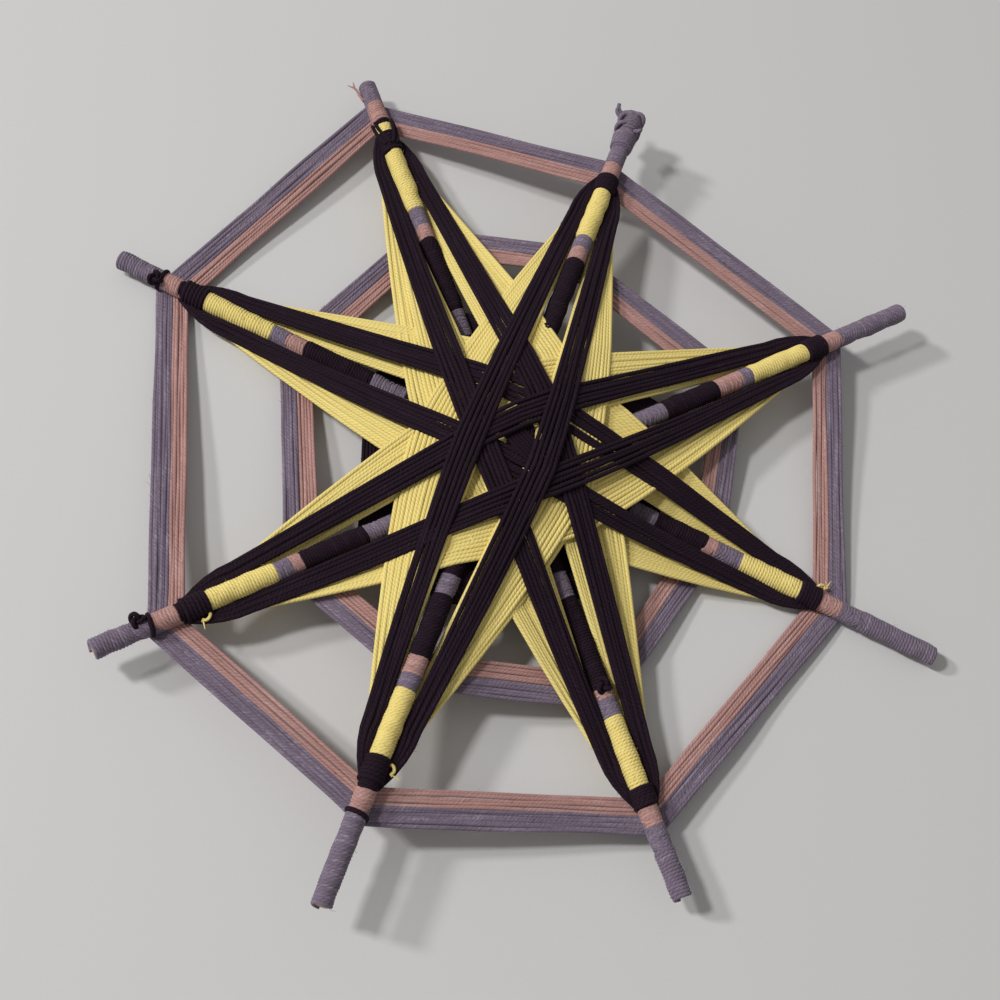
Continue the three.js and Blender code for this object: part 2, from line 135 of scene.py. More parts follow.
STICKS = (
    Stick("A4", "A8", -25.6, 0),
    Stick("A1", "A5", 108.9, 1),
    Stick("A3", "A7", 26.9, 2),
    Stick("A2", "A6", 69.7, 3),
)


@dataclass(frozen=True)
class Arm:
    """Half a stick, with its own outward and sideways directions."""

    name: str
    middle: Vector
    out: Vector
    side: Vector
    shares: ArmShares

    def reach(self, share: float) -> float:
        """The distance from the stick's middle at a share of the arm's length."""
        return share * ARM_LENGTH

    def at(self, reach: float, sideways: float, up: float) -> Vector:
        """A point at a reach along the arm, a way to its side and a way up."""
        return self.middle + self.out * reach + self.side * sideways + Vector((0, 0, up))

    def around(self, reach: float, radius: float, angle: float) -> Vector:
        """A point on a circle round the arm, its angle counted from the arm's side upwards."""
        return self.at(reach, radius * math.cos(angle), radius * math.sin(angle))

    def bends(self, root: Vector, shares: "BendShares", length: float, way: float = 1) -> list[Vector]:
        """Places the bends of a tail that leaves the arm.

        Args:
            root: Where the tail starts.
            shares: Each bend's way along the arm, aside and up.
            length: The tail's length.
            way: A factor on the way along the arm.

        Returns:
            The bends.
        """
        return [
            root + (self.out * share[0] * way + self.side * share[1] + Vector((0, 0, share[2]))) * length
            for share in shares
        ]


BendShares = tuple[tuple[float, float, float], ...]


def make_arms() -> dict[str, Arm]:
    """Makes the eight arms from the four sticks."""
    arms: dict[str, Arm] = {}
    for stick in STICKS:
        for name, way in ((stick.first, 1), (stick.second, -1)):
            out = stick.along * way
            side = Vector((-out.y, out.x, 0))
            arms[name] = Arm(name, stick.middle, out, side, ARM_SHARES[name])
    return {name: arms[name] for name in ARM_ORDER}


class Signal:
    """A shader socket that takes Python's own operators, each adding a Math node."""

    def __init__(self, net: "MaterialNet", socket: bpy.types.NodeSocket) -> None:
        """Wraps a socket of a material net."""
        self.net = net
        self.socket = socket

    def math(self, operation: str, *values: "SocketValue") -> "Signal":
        """Adds a Math node.

        Args:
            operation: The Math node's operation.
            values: The values or signals of its sockets, in order.

        Returns:
            The node's result.
        """
        inputs = dict(enumerate(values))
        node = self.net.node("ShaderNodeMath", {"operation": operation}, inputs)
        return Signal(self.net, node.outputs[0])

    def __add__(self, other: "SocketValue") -> "Signal":
        """This signal plus another."""
        return self.math("ADD", self, other)

    def __sub__(self, other: "SocketValue") -> "Signal":
        """This signal less another."""
        return self.math("SUBTRACT", self, other)

    def __mul__(self, other: "SocketValue") -> "Signal":
        """This signal times another."""
        return self.math("MULTIPLY", self, other)

    def __truediv__(self, other: "SocketValue") -> "Signal":
        """This signal over another."""
        return self.math("DIVIDE", self, other)

    def __pow__(self, other: "SocketValue") -> "Signal":
        """This signal to a power."""
        return self.math("POWER", self, other)

    def wave(self) -> "Signal":
        """The height of a round ridge that repeats with every whole number."""
        return self.math("ABSOLUTE", self.math("SINE", self * math.pi))

    __radd__ = __add__


SocketValue = Union[Signal, bpy.types.NodeSocket, float, Sequence[float]]


class MaterialNet:
    """A new material and the nodes that feed its surface."""

    def __init__(self, name: str) -> None:
        """Starts a material with a bare Principled surface."""
        self.material = bpy.data.materials.new(name)
        self.material.use_nodes = True
        self.tree = self.material.node_tree
        self.surface = self.tree.nodes["Principled BSDF"]

    def node(
        self, kind: str, settings: dict[str, object], inputs: dict[Union[int, str], SocketValue]
    ) -> bpy.types.Node:
        """Adds a node.

        Args:
            kind: The node's type.
            settings: Its own settings, which are set first.
            inputs: Values or links for its sockets, by name or number.

        Returns:
            The new node.
        """
        node = self.tree.nodes.new(kind)
        for setting, value in settings.items():
            setattr(node, setting, value)
        self.feed(node, inputs)
        return node

    def feed(self, node: bpy.types.Node, inputs: dict[Union[int, str], SocketValue]) -> None:
        """Sets or links a node's sockets.

        Args:
            node: The node.
            inputs: Values or links for its sockets, by name or number.
        """
        for key, value in inputs.items():
            source = value.socket if isinstance(value, Signal) else value
            if isinstance(source, bpy.types.NodeSocket):
                self.tree.links.new(source, node.inputs[key])
            else:
                node.inputs[key].default_value = source

    def mix(self, share: SocketValue, low: SocketValue, high: SocketValue) -> bpy.types.NodeSocket:
        """Mixes two colours.

        Args:
            share: How much of the second colour shows.
            low: The first colour.
            high: The second colour.

        Returns:
            The mixed colour.
        """
        node = self.node("ShaderNodeMix", {"data_type": "RGBA"}, {0: share, 6: low, 7: high})
        return node.outputs[2]

    def noise(self, place: SocketValue, scale: float, detail: float) -> Signal:
        """Adds an even noise from 0 to 1.

        Args:
            place: The coordinates that it reads.
            scale: How many of its waves fit in one unit of them.
            detail: How many finer layers it has.

        Returns:
            The noise's strength.
        """
        inputs = {"Vector": place, "Scale": scale, "Detail": detail}
        node = self.node("ShaderNodeTexNoise", {}, inputs)
        return Signal(self, node.outputs["Fac"])

    def bump(self, height: Signal, depth: float, strength: float) -> bpy.types.NodeSocket:
        """Turns a height from 0 to 1 into a normal.

        Args:
            height: The height.
            depth: How deep a whole unit of it is, in metres.
            strength: How strongly it shows.

        Returns:
            The normal.
        """
        inputs = {"Height": height, "Distance": depth, "Strength": strength}
        return self.node("ShaderNodeBump", {}, inputs).outputs["Normal"]


def shade(colour: Colour) -> tuple[float, float, float, float]:
    """Turns a screen colour of 0 to 255 into the shader's own values.

    Args:
        colour: Red, green and blue as seen on a screen.

    Returns:
        The same colour in linear light, opaque.
    """
    curve = [
        (value / 255 / 12.92) if value / 255 <= 0.04045 else ((value / 255 + 0.055) / 1.055) ** 2.4
        for value in colour
    ]
    return (curve[0], curve[1], curve[2], 1.0)


@dataclass(frozen=True)
class YarnFinish:
    """A plied yarn: its own colour on the plies, a painted shade in the crevices between them, and how
    heathered it is.
    """

    name: str
    crest: Colour
    # a painted shade: the darker colour laid into the crevices between the plies; crest is the colour on
    # their tops
    crevice_shade: Colour
    fleck: Colour
    fleck_share: float
    sheen: float
    roughness: float
    ply_share: float = 0.4  # how far the shading follows the plies
    plies: int = 3
    twist: float = 4.2 * MM  # the length of one whole turn of the plies
    ply_depth: float = 0.18 * MM
    fibre_length: float = 2.4 * MM
    fibre_cells: float = 2.2  # how many fibres lie across a ply
    slub: float = 24 * MM  # the length of the paler and darker stretches
    slub_turns: float = 2  # how far the slubs push the twist round
    crest_power: float = 0.6  # under 1, so that the plies look broad and full
    dark_share: float = 0.4  # the strength of the noises up to which a fibre stays dark
    pale_share: float = 0.9  # and from which it turns into a fleck
    pale_slub_share: float = 0.7
    pale_gain: float = 4
    roughness_swing: float = 0.15
    fibre_bump_share: float = 0.7
    bump_share: float = 0.8
    sheen_roughness: float = 0.6
    specular: float = 0.2

    def material(self) -> bpy.types.Material:
        """Builds the yarn's material on its own run and turn coordinates.

        Returns:
            The material.
        """
        net = MaterialNet(self.name)
        run = net.node("ShaderNodeUVMap", {"uv_map": YARN_MAP}, {})
        parts = net.node("ShaderNodeSeparateXYZ", {}, {0: run.outputs[0]})
        around = Signal(net, parts.outputs[0])
        along = Signal(net, parts.outputs[1])
        stretch = net.noise(net.node("ShaderNodeCombineXYZ", {}, {0: along / self.slub}).outputs[0], 1, 2)
        turned = around + along / self.twist + stretch * self.slub_turns
        ply = (turned * self.plies).wave()
        angle = turned * TURN
        inputs = {
            0: angle.math("COSINE", angle) * self.fibre_cells,
            1: angle.math("SINE", angle) * self.fibre_cells,
            2: along / self.fibre_length,
        }
        fibre = net.noise(net.node("ShaderNodeCombineXYZ", {}, inputs).outputs[0], 1, 3)
        from_plies = ply**self.crest_power * self.ply_share
        from_fibres = (fibre + stretch - self.dark_share) * (1 - self.ply_share)
        # Painted shade: the plies' crevices are darkened towards the crevice colour, while the fibre and slub
        # noises only vary the yarn's tone.
        lit = net.mix(from_plies + from_fibres, shade(self.crevice_shade), shade(self.crest))
        pale = fibre + stretch * self.pale_slub_share - self.pale_share
        pale = pale * (self.pale_gain * self.fleck_share)
        colour = net.mix(pale, lit, shade(self.fleck))
        height = ply * self.ply_share + fibre * self.fibre_bump_share
        inputs = {
            "Base Color": colour,
            "Roughness": self.roughness + (fibre - 0.5) * self.roughness_swing,
            "Normal": net.bump(height, self.ply_depth, self.bump_share),
            "Sheen Weight": self.sheen,
            "Sheen Roughness": self.sheen_roughness,
            "Sheen Tint": shade(self.fleck),
            "Specular IOR Level": self.specular,
        }
        net.feed(net.surface, inputs)
        return net.material


@dataclass(frozen=True)
class WoodFinish:
    """Bare softwood with its grain along the stick."""

    name: str
    light: Colour = (214, 188, 148)
    dark: Colour = (172, 136, 92)
    grain: float = 0.5 * MM
    grain_length: float = 14 * MM
    depth: float = 0.06 * MM
    lines: float = 6  # dark lines from the palest to the darkest grain
    line_share: float = 0.55
    grain_share: float = 0.4
    roughness: float = 0.62
    roughness_swing: float = 0.2
    bump_share: float = 0.5

    def material(self, middle: Vector, turn: float) -> bpy.types.Material:
        """Builds the wood of one stick.

        Args:
            middle: The stick's middle.
            turn: The stick's turn about the upright, in radians.

        Returns:
            The material.
        """
        net = MaterialNet(self.name)
        place = net.node("ShaderNodeTexCoord", {}, {}).outputs["Object"]
        settings = {"vector_type": "TEXTURE"}
        inputs = {"Vector": place, "Location": middle, "Rotation": (0.0, 0.0, turn)}
        local = net.node("ShaderNodeMapping", settings, inputs)
        scales = (1 / self.grain_length, 1 / self.grain, 1 / self.grain)
        inputs = {"Vector": local.outputs[0], "Scale": scales}
        stretched = net.node("ShaderNodeMapping", {}, inputs)
        grain = net.noise(stretched.outputs[0], 1.0, 4)
        lines = (grain * self.lines).wave()
        darkness = lines * self.line_share + grain * self.grain_share
        colour = net.mix(darkness, shade(self.light), shade(self.dark))
        inputs = {
            "Base Color": colour,
            "Roughness": self.roughness + grain * self.roughness_swing,
            "Normal": net.bump(lines, self.depth, self.bump_share),
        }
        net.feed(net.surface, inputs)
        return net.material


PURPLE = YarnFinish("purple_grey_yarn", (128, 114, 131), (64, 52, 66), (180, 170, 182), 0.6, 0.3, 0.9)
PINK = YarnFinish("dusty_pink_yarn", (188, 145, 138), (118, 82, 79), (214, 184, 177), 0.55, 0.25, 0.9)
YELLOW = YarnFinish(
    "pale_yellow_yarn", (240, 221, 140), (200, 174, 90), (248, 236, 176), 0.25, 0.15, 0.88, 0.6
)
DARK = YarnFinish("dark_aubergine_yarn", (36, 20, 33), (5, 2, 5), (70, 50, 70), 0.35, 0.03, 0.94, 0.75)
WOOD = WoodFinish("stick_softwood")


def wander(point: Vector, seed: float, amount: float, wave: float) -> Vector:
    """Moves a point a little, smoothly along a strand and the same way each time.

    Args:
        point: The point.
        seed: A number of the strand's own.
        amount: How far the point may move.
        wave: The length over which the movement changes.

    Returns:
        The moved point.
    """
    return point + noise.noise_vector(point / wave + Vector((seed, -seed, 3 * seed))) * amount


def split_run(start: Vector, end: Vector, spacing: float) -> list[Vector]:
    """Divides a straight run evenly.

    Args:
        start: Its first point, which is kept.
        end: Its last point, which is left out.
        spacing: About how far apart the points lie.

    Returns:
        The points from the start on.
    """
    count = max(1, round((end - start).length / spacing))
    return [start.lerp(end, step / count) for step in range(count)]


FUZZ_SPACING = 6 * MM  # the length of strand for each loose fibre
FUZZ_LENGTH = 2 * MM
FUZZ_THICKNESS = 0.12 * MM
FUZZ_POINTS = 4
FUZZ_SIDES = 3
FUZZ_TIP_SHARE = 0.5
FUZZ_ROOT_SHARE = 0.4  # of the strand's thickness, from its middle to a fibre's root
FUZZ_LEAST_SHARE = 0.4  # the shortest fibre against the longest
FUZZ_STAND_SHARE = 0.6  # of a fibre's length, how far it stands out
FUZZ_LEAN_SHARE = 0.7  # how far it leans along the strand
FUZZ_DROOP_SHARE = 0.3  # how far its end bends back


class YarnPiece:
    """Strands of yarn swept into one mesh, mapped in turns round and metres along."""

    sides = 8

    def __init__(self, name: str, fuzzy: bool = True) -> None:
        """Starts an empty piece, whose strands shed loose fibres if it is fuzzy."""
        self.name = name
        self.fuzzy = fuzzy
        self.random = np.random.default_rng(sum(name.encode()))
        self.places: list[np.ndarray] = []
        self.faces: list[list[int]] = []
        self.map: list[tuple[float, float]] = []
        self.count = 0

    def frames(self, line: np.ndarray) -> tuple[np.ndarray, np.ndarray]:
        """Carries a square pair of directions along a line without twisting them.

        Args:
            line: The line's points.

        Returns:
            The two directions at each point.
        """
        steps = np.diff(line, axis=0)
        steps /= np.linalg.norm(steps, axis=1)[:, None]
        tangents = np.vstack((steps[:1], steps[:-1] + steps[1:], steps[-1:]))
        tangents /= np.linalg.norm(tangents, axis=1)[:, None]
        normals = np.empty_like(tangents)
        helper = np.eye(3)[np.argmin(np.abs(tangents[0]))]
        normal = np.cross(tangents[0], helper)
        for index, tangent in enumerate(tangents):
            normal = normal - tangent * np.dot(normal, tangent)
            normal /= np.linalg.norm(normal)
            normals[index] = normal
        return normals, np.cross(tangents, normals)

    def add_strand(self, points: Sequence[Vector], thickness: float, tip: float = 1.0) -> None:
        """Sweeps one strand, with fine fibres that stand off it.

        Args:
            points: Its middle line.
            thickness: Its thickness.
            tip: The share of that thickness left at its last point.
        """
        line = np.array([tuple(point) for point in points])
        self.sweep(line, thickness, tip, self.sides)
        if self.fuzzy:
            self.add_fuzz(line, thickness)

    def sweep(self, line: np.ndarray, thickness: float, tip: float, sides: int) -> None:
        """Sweeps a closed tube along a line.

        Args:
            line: Its middle line.
            thickness: Its thickness.
            tip: The share of that thickness left at its last point.
            sides: How many sides it has.
        """
        lengths = np.linalg.norm(np.diff(line, axis=0), axis=1)
        runs = np.concatenate(([0.0], np.cumsum(lengths)))
        normals, binormals = self.frames(line)
        radii = thickness / 2 * np.linspace(1.0, tip, len(line))
        angles = TURN * np.arange(sides) / sides
        across = np.cos(angles)[None, :, None] * normals[:, None, :]
        upward = np.sin(angles)[None, :, None] * binormals[:, None, :]
        rings = line[:, None, :] + radii[:, None, None] * (across + upward)
        self.places.append(rings.reshape(-1, 3))
        self.add_wall(runs, sides)
        self.count += len(line) * sides

    def add_fuzz(self, line: np.ndarray, thickness: float) -> None:
        """Adds short loose fibres at random places of a strand.

        Args:
            line: The strand's middle line.
            thickness: The strand's thickness.
        """
        steps = np.diff(line, axis=0)
        lengths = np.linalg.norm(steps, axis=1)
        count = int(lengths.sum() / FUZZ_SPACING)
        if not count:
            return
        rows = self.random.choice(len(steps), count, p=lengths / lengths.sum())
        for row in rows:
            along = steps[row] / lengths[row]
            out = np.cross(along, self.random.normal(size=3))
            out /= np.linalg.norm(out)
            turn = np.cross(along, out) * self.random.uniform(-1, 1)
            start = line[row] + steps[row] * self.random.uniform() + out * (thickness * FUZZ_ROOT_SHARE)
            length = FUZZ_LENGTH * self.random.uniform(FUZZ_LEAST_SHARE, 1)
            shares = np.linspace(0, 1, FUZZ_POINTS)[:, None]
            straight = out * FUZZ_STAND_SHARE + along * FUZZ_LEAN_SHARE
            curl = turn - out * FUZZ_DROOP_SHARE
            fibre = start + length * (shares * straight + shares**2 * curl)
            self.sweep(fibre, FUZZ_THICKNESS, FUZZ_TIP_SHARE, FUZZ_SIDES)

    def add_wall(self, runs: np.ndarray, sides: int) -> None:
        """Adds the faces of a tube whose corners come next, and closes both its ends.

        Args:
            runs: The length run at each ring.
            sides: How many sides the tube has.
        """
        for row in range(len(runs) - 1):
            first = self.count + row * sides
            for side in range(sides):
                after = (side + 1) % sides
                self.faces.append([first + side, first + after, first + sides + after, first + sides + side])
                near, far = side / sides, (side + 1) / sides
                self.map += [(near, runs[row]), (far, runs[row]), (far, runs[row + 1]), (near, runs[row + 1])]
        last = self.count + (len(runs) - 1) * sides
        for cap, run in (
            ([self.count + side for side in reversed(range(sides))], runs[0]),
            ([last + side for side in range(sides)], runs[-1]),
        ):
            self.faces.append(cap)
            self.map += [(0.0, run)] * sides

    def finish(self) -> bpy.types.Object:
        """Makes the mesh object.

        Returns:
            The object, at the origin.
        """
        mesh = bpy.data.meshes.new(self.name)
        mesh.from_pydata(np.vstack(self.places).tolist(), [], self.faces)
        uv = mesh.uv_layers.new(name=YARN_MAP)
        uv.data.foreach_set("uv", np.array(self.map, dtype=np.float32).ravel())
        mesh.shade_smooth()
        piece = bpy.data.objects.new(self.name, mesh)
        bpy.context.scene.collection.objects.link(piece)
        return piece


class Dresser:
    """Gives each finished piece its material and its body, and hides the CAD nodes it stands for."""

    def __init__(self) -> None:
        """Makes the yarn materials once."""
        self.yarns = {yarn: yarn.material() for yarn in (PURPLE, PINK, YELLOW, DARK)}
        self.slots = {PURPLE: Slot.PURPLE, PINK: Slot.PINK, YELLOW: Slot.YELLOW, DARK: Slot.DARK}

    def dress(
        self, piece: bpy.types.Object, material: bpy.types.Material, nodes: Sequence[str]
    ) -> None:
        """Finishes one piece.

        Args:
            piece: The piece.
            material: Its material.
            nodes: The CAD nodes that it stands for.
        """
        piece.data.materials.clear()
        piece.data.materials.append(material)
        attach(piece, BODY)
        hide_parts(*nodes)
        log.info("%s: %d faces", piece.name, len(piece.data.polygons))

    def dress_yarn(self, yarn: YarnPiece, finish: YarnFinish, nodes: Sequence[str]) -> None:
        """Makes and finishes a piece of yarn.

        Args:
            yarn: The swept strands.
            finish: The yarn's finish.
            nodes: The CAD nodes that it stands for.
        """
        self.dress(yarn.finish(), self.yarns[finish], nodes)


@dataclass
class StickSet:
    """The four wooden sticks, round, with softened sawn ends."""

    radius: float = STICK_RADIUS
    sides: int = 24
    rim: float = 0.25 * MM
    rim_steps: int = 2
    end_inset: float = 0.5 * MM
    end_dish: float = 0.1 * MM
    end_degrees: float = 30  # faces within this angle of the stick's direction are its ends
    smooth_degrees: float = 40

    def build(self, dresser: Dresser) -> None:
        """Makes the sticks.

        Args:
            dresser: Finishes each of them.
        """
        for stick in STICKS:
            piece = self.build_stick(stick)
            material = WOOD.material(stick.middle, math.radians(stick.turn_degrees))
            dresser.dress(piece, material, [stick.node])

    def build_stick(self, stick: Stick) -> bpy.types.Object:
        """Models one stick from a round bar.

        Args:
            stick: Which stick.

        Returns:
            The finished object.
        """
        bpy.ops.object.select_all(action="DESELECT")
        turn = (0, math.pi / 2, math.radians(stick.turn_degrees))
        bpy.ops.mesh.primitive_cylinder_add(
            vertices=self.sides,
            radius=self.radius,
            depth=STICK_LENGTH,
            location=stick.middle,
            rotation=turn,
        )
        piece = bpy.context.object
        piece.name = f"wooden_{stick.node}"
        bpy.ops.object.transform_apply(location=True, rotation=True, scale=True)
        for face in piece.data.polygons:
            face.select = abs(face.normal.dot(stick.along)) > math.cos(math.radians(self.end_degrees))
        for line in piece.data.edges:
            line.select = False
        for corner in piece.data.vertices:
            corner.select = False
        bpy.ops.object.mode_set(mode="EDIT")
        bpy.ops.mesh.select_mode(type="FACE")
        bpy.ops.mesh.inset(thickness=self.end_inset, depth=-self.end_dish, use_individual=True)
        bpy.ops.object.mode_set(mode="OBJECT")
        bevel = piece.modifiers.new("softened_rims", "BEVEL")
        bevel.width = self.rim
        bevel.segments = self.rim_steps
        bevel.angle_limit = math.radians(self.smooth_degrees)
        bpy.ops.object.modifier_apply(modifier=bevel.name)
        bpy.ops.object.shade_smooth_by_angle(angle=math.radians(self.smooth_degrees))
        return piece


@dataclass(frozen=True)
class Wrap:
    """Close plain turns of yarn on an arm, between two reaches, thicker at one end or the other."""

    start: float
    end: float
    inner_radius: float  # from the arm's axis to the yarn's middle, at the inner end
    outer_radius: float
    seed: float
    pitch: float = 0.95 * MM
    steps: int = 14
    unevenness: float = 0.35 * MM
    wave: float = 4 * MM

    def path(self, arm: Arm) -> list[Vector]:
        """Winds the wrap, starting and ending behind the arm.

        Args:
            arm: The arm.

        Returns:
            The strand's middle line.
        """
        count = max(2, round((self.end - self.start) / self.pitch)) * self.steps
        points = []
        for step in range(count + 1):
            share = step / count
            radius = self.inner_radius + (self.outer_radius - self.inner_radius) * share
            edge = min(step, count - step) / self.steps
            radius -= (radius - WRAP_RADIUS) * max(0, 1 - edge)
            reach = self.start + (self.end - self.start) * share
            point = arm.around(reach, radius, BACK + TURN * step / self.steps)
            points.append(wander(point, self.seed, self.unevenness, self.wave))
        return points


# What sets the wraps of one arm apart, as shares of the step between two arms
WRAP_SEED_SHARES = {"collar": 0.1, "foot": 0.2, "head": 0.3, "tip": 0.4, "yellow": 0.5, "dark": 0.6}
LOOP_SHARES = ((0, 0.1), (0.3, 0.45), (0.7, 0.85), (1, 1))  # of the loop's length and of its opening


@dataclass
class ArmWraps:
    """The wraps of every arm that are not part of a web."""

    tip_radius: float = 2.7 * MM
    yellow_radius: float = 2.75 * MM
    dark_radius: float = 2.9 * MM
    collar_radius: float = 3 * MM
    collar_tip_radius: float = 2.5 * MM
    bundle_arm: str = "A2"  # here the yarn is wound fatter, up to a knot
    bundle_radius: float = 3.9 * MM
    loop_arm: str = "A1"  # here the collar opens into a loop with yellow inside it
    loop_foot: float = 3.4 * MM
    loop_head: float = 1.9 * MM
    loop_strands: int = 2
    loop_degrees: float = 52  # from the loop's middle line to its widest place
    loop_strand_degrees: float = 28  # from one of its strands to the next
    loop_lift_share: float = 0.9  # of a strand's thickness, over the yellow below it

    def build(self, arms: dict[str, Arm], dresser: Dresser) -> None:
        """Makes the wraps of every arm.

        Args:
            arms: The arms.
            dresser: Finishes each wrap.
        """
        for index, (name, arm) in enumerate(arms.items()):
            for kind, finish, wraps in self.kinds(arm, index):
                yarn = YarnPiece(f"{kind}_{name}_yarn")
                for wrap in wraps:
                    yarn.add_strand(wrap.path(arm), YARN)
                if kind == "dark_collar" and name == self.loop_arm:
                    self.add_loop(yarn, arm)
                dresser.dress_yarn(yarn, finish, [f"{kind}_{name}"])

    def kinds(self, arm: Arm, index: int) -> list[tuple[str, YarnFinish, list[Wrap]]]:
        """Lists the wraps of one arm.

        Args:
            arm: The arm.
            index: The arm's place in their order.

        Returns:
            The kind, the yarn and the turns of each wrap.
        """
        shares = arm.shares
        rounds = WebBand.front_pitch * OUTER_PURPLE.rounds
        tip = arm.reach(shares.web) + rounds - YARN
        tip_end = ARM_LENGTH - (TipKnot.length if arm.name == TipKnot.arm else 0)
        collar, pink = arm.reach(shares.collar), arm.reach(shares.pink)
        yellow, dark = arm.reach(shares.yellow), arm.reach(shares.ring)
        dark_end = arm.reach(shares.inner_pink)
        thick, thin = self.collar_radius, self.collar_tip_radius
        end = self.bundle_radius if arm.name == self.bundle_arm else self.tip_radius
        seeds = {kind: index + share for kind, share in WRAP_SEED_SHARES.items()}
        collars = [Wrap(collar, pink, thick, thin, seeds["collar"])]
        yellow_end = collar
        if arm.name == self.loop_arm:
            yellow_end = pink - self.loop_head
            foot = Wrap(collar, collar + self.loop_foot, thick, thin, seeds["foot"])
            collars = [foot, Wrap(yellow_end, pink, thin, thin, seeds["head"])]
        tip_wrap = Wrap(tip, tip_end, (self.tip_radius + end) / 2, end, seeds["tip"])
        yellow_wrap = Wrap(yellow, yellow_end, self.yellow_radius, self.yellow_radius, seeds["yellow"])
        dark_wrap = Wrap(dark, dark_end, self.dark_radius, self.dark_radius, seeds["dark"])
        return [
            ("tip_wrap", PURPLE, [tip_wrap]),
            ("dark_collar", DARK, collars),
            ("yellow_wrap", YELLOW, [yellow_wrap]),
            ("dark_wrap", DARK, [dark_wrap]),
        ]

    def add_loop(self, yarn: YarnPiece, arm: Arm) -> None:
        """Runs the collar's strands along both sides of the arm, round the yellow that shows there.

        Args:
            yarn: The collar's piece.
            arm: The arm.
        """
        foot = arm.reach(arm.shares.collar) + self.loop_foot - YARN
        head = arm.reach(arm.shares.pink) - YARN
        radius = self.yellow_radius + YARN * self.loop_lift_share
        for way in (-1, 1):
            for number in range(self.loop_strands):
                bends = []
                for share, aside in LOOP_SHARES:
                    opening = self.loop_degrees * aside + self.loop_strand_degrees * number
                    angle = math.radians(FRONT_DEGREES - opening * way)
                    bends.append(arm.around(foot + (head - foot) * share, radius, angle))
                yarn.add_strand(smooth_line(bends, 4), YARN)


@dataclass(frozen=True)
class WebBand:
    """One colour of a web: an unbroken strand wound round and round the eight arms."""

    node: str
    finish: YarnFinish
    rounds: int
    band_outer: Callable[[Arm], float]
    band_inner: Callable[[Arm], float]
    front_outer: Callable[[Arm], float]
    front_inner: Callable[[Arm], float]
    front_pitch: float = 1.25 * MM
    turn_steps: int = 12
    run_spacing: float = 9 * MM
    unevenness: float = 0.55 * MM
    wave: float = 30 * MM
    under_radius: float = STICK_RADIUS + 0.3 * MM  # of the turns that hide the wood under the band
    crossing_rise: float = 0.5 * MM  # how far the strand stands off where it crosses itself

    def turn_about(self, arm: Arm, share: float) -> list[Vector]:
        """Takes the strand once round an arm, from behind it over its front and behind again.

        Args:
            arm: The arm.
            share: How far the whole band is wound, from 0 to 1.

        Returns:
            The points of the turn.
        """
        band = self.band_outer(arm) + (self.band_inner(arm) - self.band_outer(arm)) * share
        front = self.front_outer(arm) + (self.front_inner(arm) - self.front_outer(arm)) * share
        points = []
        for step in range(self.turn_steps + 1):
            done = step / self.turn_steps
            forward = (1 - math.cos(TURN * done)) / 2
            slip = (0.5 - done) * YARN * (1 - forward)
            reach = band + (front - band) * forward + slip
            radius = WRAP_RADIUS + self.crossing_rise * (1 - forward) ** 2
            points.append(arm.around(reach, radius, BACK - TURN * done))
        return points

    def path(self, arms: dict[str, Arm], seed: float) -> list[Vector]:
        """Winds the whole band.

        Args:
            arms: The arms, in the order that the strand meets them.
            seed: A number of the band's own.

        Returns:
            The strand's middle line.
        """
        points: list[Vector] = []
        total = self.rounds * len(arms)
        for step in range(total + 1):
            arm = arms[ARM_ORDER[step % len(arms)]]
            turn = self.turn_about(arm, step / total)
            if points:
                run_seed = seed + step // len(arms)
                for point in split_run(points[-1], turn[0], self.run_spacing)[1:]:
                    points.append(wander(point, run_seed, self.unevenness, self.wave))
            points += turn
        return points

    def build(self, arms: dict[str, Arm], dresser: Dresser) -> None:
        """Makes the band.

        Args:
            arms: The arms.
            dresser: Finishes it.
        """
        yarn = YarnPiece(f"{self.node}_yarn")
        yarn.add_strand(self.path(arms, self.rounds), YARN)
        for index, arm in enumerate(arms.values()):
            start, end = self.front_inner(arm) - YARN / 2, self.front_outer(arm) + YARN / 2
            wrap = Wrap(start, end, self.under_radius, self.under_radius, index)
            yarn.add_strand(wrap.path(arm), YARN)
        dresser.dress_yarn(yarn, self.finish, [self.node])


OUTER_ROUNDS = 7
BAND_OUT = 3.4 * MM  # from a web's mark on the arm out to the purple band's edge
BAND_JOIN = 4 * MM  # from the mark in to where pink follows purple
BAND_IN = 9.7 * MM  # from the mark in to the pink band's edge
RING_DRAW = 2 * MM  # how far inside its wraps the small ring runs


def band_edge(mark: str, offset: float) -> Callable[[Arm], float]:
    """A reach that keeps a set distance from one of the arm's marks.

    Args:
        mark: The name of the mark.
        offset: How far outside it the reach lies.

    Returns:
        A function of the arm.
    """
    return lambda arm: arm.reach(getattr(arm.shares, mark)) + offset


OUTER_PURPLE = WebBand(
    "outer_web_purple",
    PURPLE,
    OUTER_ROUNDS,
    band_edge("web", BAND_OUT - YARN / 2),
    band_edge("web", -BAND_JOIN + YARN / 2),
    band_edge("web", OUTER_ROUNDS * WebBand.front_pitch - YARN / 2),
    band_edge("web", YARN / 2),
)
OUTER_PINK = WebBand(
    "outer_web_pink",
    PINK,
    5,
    band_edge("web", -BAND_JOIN + YARN / 2),
    band_edge("web", -BAND_IN + YARN / 2),
    band_edge("web", -YARN / 2),
    band_edge("pink", YARN / 2),
)
INNER_PURPLE = WebBand(
    "inner_web_purple",
    PURPLE,
    6,
    band_edge("purple", BAND_OUT - YARN / 2),
    band_edge("purple", -BAND_JOIN + YARN / 2),
    band_edge("yellow", -YARN / 2),
    band_edge("purple", YARN / 2),
)
INNER_PINK = WebBand(
    "inner_web_pink",
    PINK,
    5,
    band_edge("purple", -BAND_JOIN + YARN / 2),
    band_edge("purple", -BAND_IN + YARN / 2),
    band_edge("purple", -YARN / 2),
    band_edge("inner_pink", YARN / 2),
)
